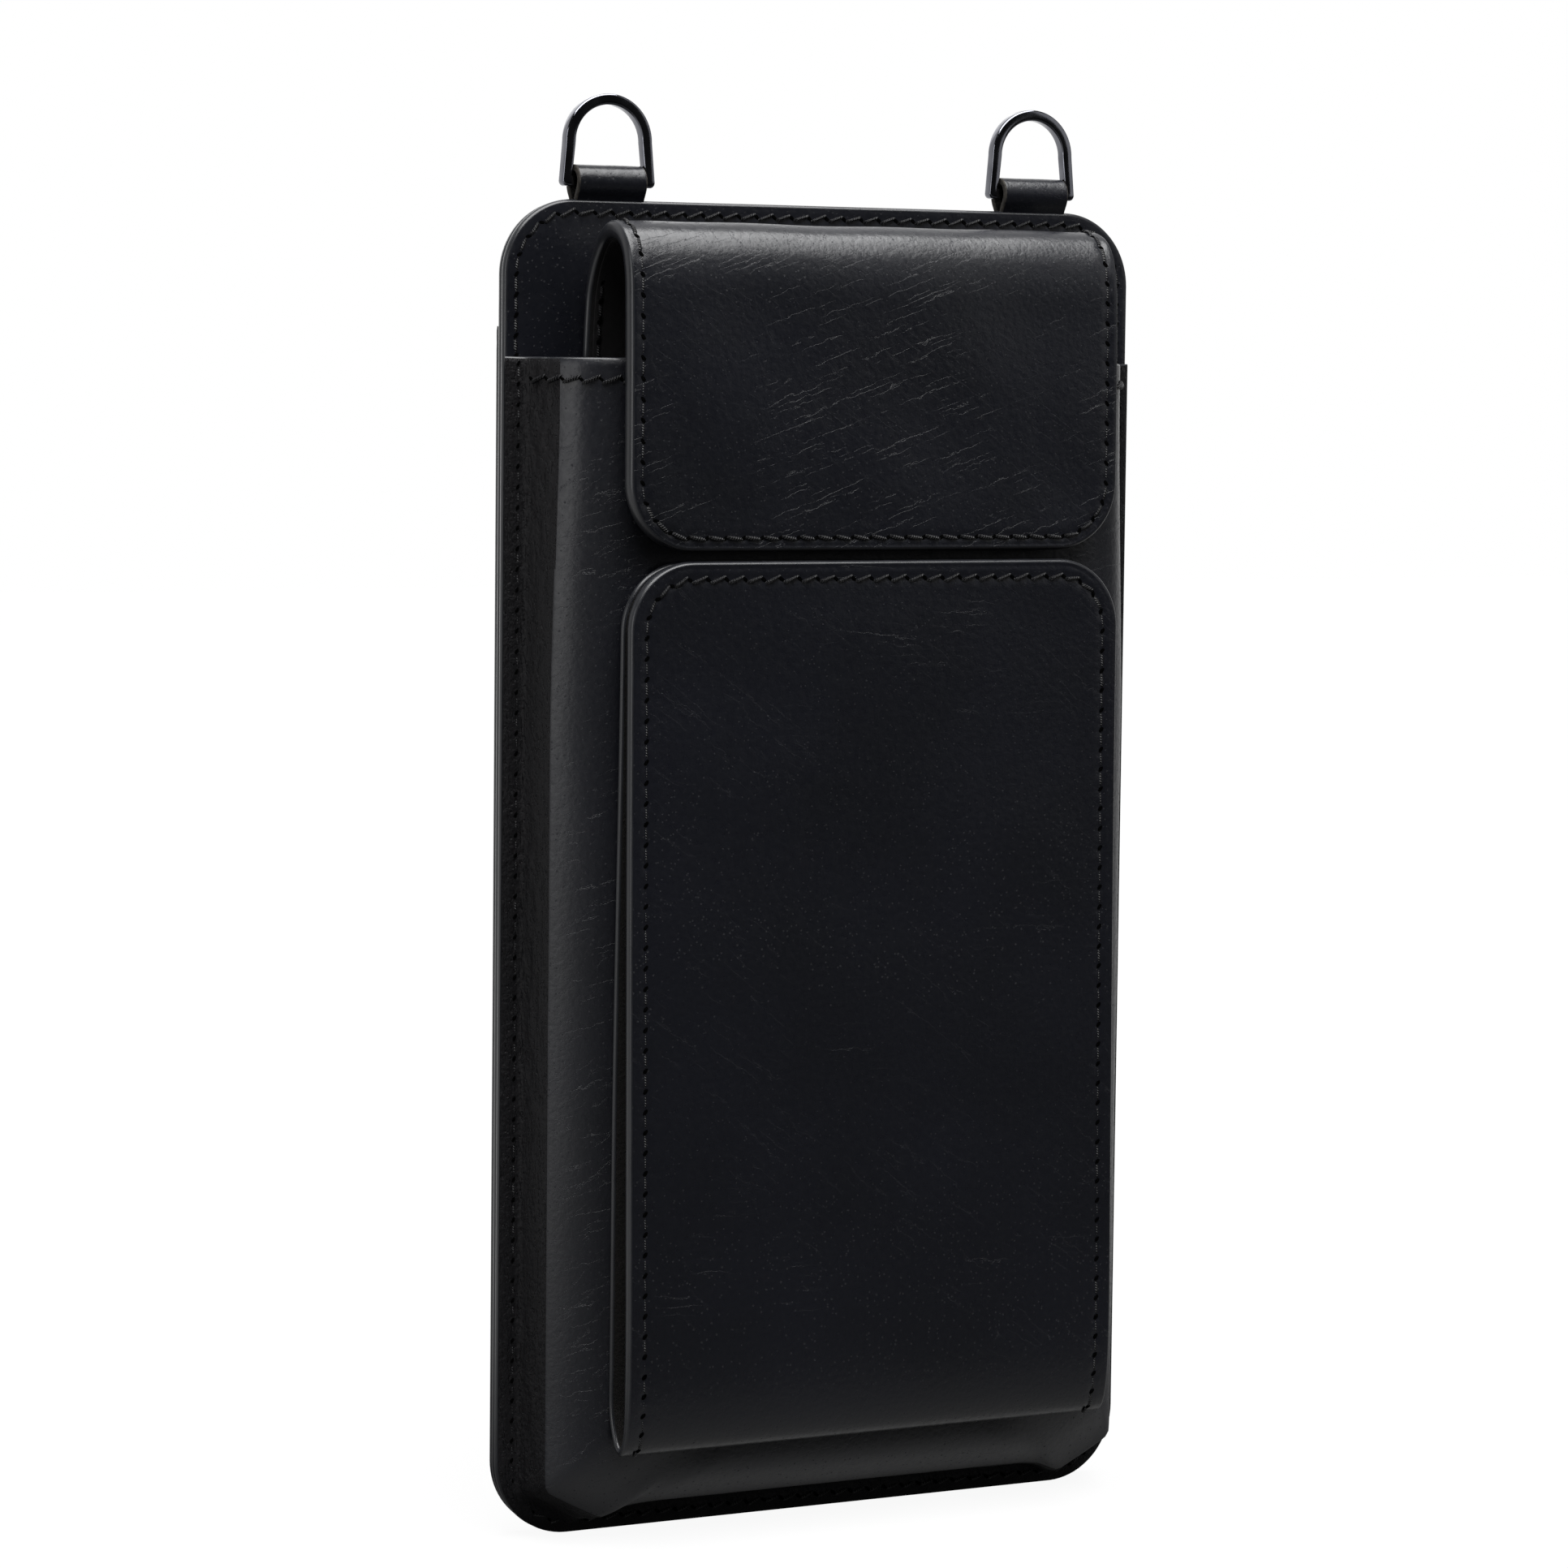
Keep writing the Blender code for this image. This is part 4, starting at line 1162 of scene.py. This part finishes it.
def makeRing(name, centreX, body, node):
    # Section points run round a rounded rectangle: share 0 to 1 from the inner to the outer line
    turn = np.linspace(0, np.pi / 2, 5)
    deep, wide, edge = ring["depth"] / 2, ring["wire"] / 2, ring["edge"]
    corner = np.stack([wide - edge + edge * np.cos(turn), deep - edge + edge * np.sin(turn)], -1)
    section = np.concatenate([corner, corner[::-1] * (-1, 1), -corner, corner[::-1] * (1, -1)])
    share = (section[:, 0] / ring["wire"] + 0.5)[:, None, None]
    inner, outer = ringLine(False), ringLine(True)
    flat = inner[None] + (outer - inner)[None] * share
    y = np.repeat(section[:, 1][:, None], len(inner), 1)
    points = np.stack([flat[..., 0] + centreX, y, flat[..., 1]], -1)
    index = np.arange(points[..., 0].size).reshape(points.shape[:2])
    right = np.roll(index, -1, 1)
    up = np.roll(index, -1, 0)
    quads = np.stack([index, right, np.roll(right, -1, 0), up], -1).reshape(-1, 4)
    piece = addPiece(name, points.reshape(-1, 3), quads, (nickel,), np.zeros(len(quads)), 60)
    settle(piece, body, "hardware", node)


# Ring tabs: a strip folded round the bar, thinned where it is sewn between the back layers
tab = {"outer": 2.371 * mm, "leather": 0.9 * mm, "half": 5.5 * mm, "tongue": 12 * mm}


def makeTab(name, centreX, node):
    # Up the front, round the bar at the outer radius and down the rear, with a mirrored tongue
    turn = np.linspace(np.radians(195), np.radians(-15), 40)
    loop = np.stack([tab["outer"] * np.cos(turn), tab["outer"] * np.sin(turn)], -1)
    front = [
        (-0.55 * mm, -tab["tongue"]),
        (-0.55 * mm, -8 * mm),
        (-0.62 * mm, -4.6 * mm),
        (-1.25 * mm, -2.75 * mm),
        (-1.95 * mm, -1.5 * mm),
    ]
    rear = [(-y, z) for y, z in front[::-1]]
    line = curveThrough(np.concatenate([front, loop[::4], rear]), 10)
    bend, length, way, points = stripBend(line, centreX)
    edge = {"bulge": 0.22 * mm, "outer": 0.25 * mm, "inner": 0.2 * mm}
    flat = cutShape(
        tab["half"] - 0.22 * mm,
        0.3 * mm,
        length - 0.3 * mm,
        0.0,
        0.0,
        0.35 * mm,
        0.8 * mm,
        1.2 * mm,
        0.3 * mm,
    )
    thin = np.interp(
        np.interp(flat[1], way, points[:, 1]), [-5.5 * mm, -2.6 * mm], [0.45 * mm, tab["leather"]]
    )
    lift = softWaves(*flat, 0.06 * mm, 7 * mm, 41)
    piece = makeSheet(
        name, flat, bend, lift * (thin > 0.6 * mm), -thin, edge, (panelHide, rawEdge, flesh)
    )
    settle(piece, "pouch", "leather", node)


ringCentre = (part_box("right_d_ring")[0].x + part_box("right_d_ring")[1].x) / 2
for side, x in (("left", -ringCentre), ("right", ringCentre)):
    makeTab(side + "_tab_leather", x, side + "_ring_tab")
    makeRing(side + "_d_ring_cast", x, side + "_ring", side + "_d_ring")
for node in ("upper_keeper", "lower_keeper", "upper_magnet", "lower_magnet"):
    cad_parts[node].data.materials.clear()
    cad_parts[node].data.materials.append(plated)
print("rings and tabs made")


# Camera at the photograph's place
view = {
    "target": Vector((-6.144 * mm, -1.4 * mm, -88.249 * mm)),
    "azimuth": -27.668,
    "height": 4.623,
    "roll": 0.62,
    "distance": 747.57 * mm,
    "pixels": 6193.5,
    "frame": 1932,
}
azimuth, height = math.radians(view["azimuth"]), math.radians(view["height"])
away = Vector(
    (math.sin(azimuth) * math.cos(height), -math.cos(azimuth) * math.cos(height), math.sin(height))
)
lens = bpy.data.cameras.new("camera")
lens.sensor_width = 36
lens.lens = view["pixels"] * 36 / view["frame"]
lens.clip_start = 0.01
lens.clip_end = 20
camera = bpy.data.objects.new("camera", lens)
camera.location = view["target"] + away * view["distance"]
camera.rotation_mode = "QUATERNION"
camera.rotation_quaternion = (-away).to_track_quat("-Z", "Y") @ Quaternion(
    (0, 0, 1), math.radians(view["roll"])
)
scene.collection.objects.link(camera)
scene.camera = camera

# A pale sweep: white to the camera, with a little true shading for the shadow. Its glow is painted as if the
# sweep were lit: a little dimmer near the pouch, full white farther out. To reflections it glows only
# towards the rear-left and in a strip just in front of the pouch, standing in for a reflector card.
floorSize = 3.0
floorPoints = np.array([(-1, -1, 0), (1, -1, 0), (1, 1, 0), (-1, 1, 0)]) * floorSize + (0, 0, panelBottom)
sweep = bpy.data.materials.new("pale_paper_sweep")
sweep.use_nodes = True
tree = sweep.node_tree
tree.nodes.clear()
ray = put(tree, "LightPath")
ground = put(tree, "TexCoord").outputs["Object"]
spread = put(tree, "VectorMath", {0: ground, 1: (1, 1, 0)}, operation="MULTIPLY")
heading = put(tree, "VectorMath", {0: spread}, operation="NORMALIZE")
leftward = put(tree, "VectorMath", {0: heading, 1: (-0.53, 0.85, 0)}, operation="DOT_PRODUCT")
# Reflections see the sweep only to the rear-left, past the pouch, and in a strip just in front of it: a
# reflector glow that lights the pocket's lower bolster and the wallet's fold
rearward = put(
    tree, "MapRange", {"Value": leftward.outputs["Value"], "From Min": -0.7, "From Max": 0.3}
)
apart = put(tree, "VectorMath", {0: spread}, operation="LENGTH")
clear = put(tree, "MapRange", {"Value": apart.outputs["Value"], "From Min": 0.08, "From Max": 0.22})
rearward = put(tree, "Math", {0: rearward, 1: clear}, operation="MULTIPLY")
forward = put(tree, "SeparateXYZ", {0: ground})
close = put(
    tree,
    "MapRange",
    {"Value": forward.outputs["Y"], "From Min": -0.10, "From Max": -0.018, "To Max": 0.64},
)
under = put(
    tree,
    "MapRange",
    {
        "Value": forward.outputs["Y"],
        "From Min": -0.014,
        "From Max": -0.006,
        "To Min": 1.0,
        "To Max": 0.15,
    },
)
strip = put(tree, "Math", {0: close, 1: under}, operation="MULTIPLY")
rearward = put(tree, "Math", {0: rearward, 1: strip}, operation="MAXIMUM")
mirrored = put(tree, "Math", {0: ray.outputs["Is Glossy Ray"], 1: rearward}, operation="MULTIPLY")
seen = put(
    tree,
    "Math",
    {0: ray.outputs["Is Camera Ray"], 1: ray.outputs["Is Transmission Ray"]},
    operation="MAXIMUM",
)
seen = put(tree, "Math", {0: seen, 1: mirrored}, operation="MAXIMUM")
# The glow is painted dimmer near the pouch, 0.93, rising to full white by 0.6 m out, as if the sweep were
# lit, so that the true shadow still shows
far = put(tree, "VectorMath", {0: ground}, operation="LENGTH")
lit = put(
    tree,
    "MapRange",
    {"Value": far.outputs["Value"], "From Min": 0.22, "From Max": 0.6, "To Min": 0.93, "To Max": 1.0},
)
glow = put(tree, "Math", {0: seen, 1: lit}, operation="MULTIPLY")
white = put(tree, "Emission", {"Color": (1, 1, 1, 1), "Strength": glow})
paper = put(tree, "BsdfDiffuse", {"Color": (0.035, 0.035, 0.035, 1)})
both = put(tree, "AddShader", {0: white, 1: paper})
put(tree, "OutputMaterial", {"Surface": both})
floor = addPiece("floor", floorPoints, np.array([[0, 1, 2, 3]]), (sweep,), np.zeros(1))

# Room: white behind, for the camera and for reflections; a dim studio on the camera's side
room = bpy.data.worlds.new("studio")
scene.world = room
room.use_nodes = True
tree = room.node_tree
tree.nodes.clear()
ray = put(tree, "LightPath")
toward = put(tree, "SeparateXYZ", {0: put(tree, "TexCoord").outputs["Generated"]})
behind = put(
    tree,
    "MapRange",
    {"Value": toward.outputs["Y"], "From Min": 0.05, "From Max": 0.75, "To Min": 0.03, "To Max": 1.0},
    interpolation_type="SMOOTHSTEP",
)
mirrored = put(tree, "Math", {0: ray.outputs["Is Glossy Ray"], 1: behind}, operation="MULTIPLY")
plain = put(
    tree,
    "Math",
    {0: ray.outputs["Is Camera Ray"], 1: ray.outputs["Is Transmission Ray"]},
    operation="MAXIMUM",
)
seen = put(tree, "Math", {0: plain, 1: mirrored}, operation="MAXIMUM")
diffuse = put(tree, "Math", {0: ray.outputs["Is Diffuse Ray"], 1: 0.16}, operation="MULTIPLY")
level = put(tree, "Math", {0: seen, 1: diffuse}, operation="MAXIMUM")
paleAir = put(tree, "Background", {"Color": (1, 1, 1, 1), "Strength": level})
put(tree, "OutputWorld", {"Surface": paleAir})


def addSoftbox(name, place, aim, width, high, watts):
    # A rectangular lamp that faces its aim
    light = bpy.data.lights.new(name, "AREA")
    light.shape = "RECTANGLE"
    light.size = width
    light.size_y = high
    light.energy = watts
    lamp = bpy.data.objects.new(name, light)
    lamp.location = place
    lamp.rotation_mode = "QUATERNION"
    lamp.rotation_quaternion = (Vector(aim) - Vector(place)).to_track_quat("-Z", "Y")
    scene.collection.objects.link(lamp)


middle = (0, -0.01, -0.09)
addSoftbox("key_softbox", (-1.05, -0.27, 0.13), (0, 0, 0.05), 0.55, 0.62, 3.9)
addSoftbox("top_softbox", (-0.05, -0.34, 0.72), (-0.05, -0.34, 0), 1.0, 1.0, 37)
addSoftbox("fill_right", (0.9, -0.65, 0.35), middle, 0.9, 0.8, 2.0)
addSoftbox("back_fill", (0.1, 1.0, 0.25), middle, 0.8, 0.8, 2.0)

scene.view_settings.view_transform = "Standard"
scene.view_settings.look = "None"
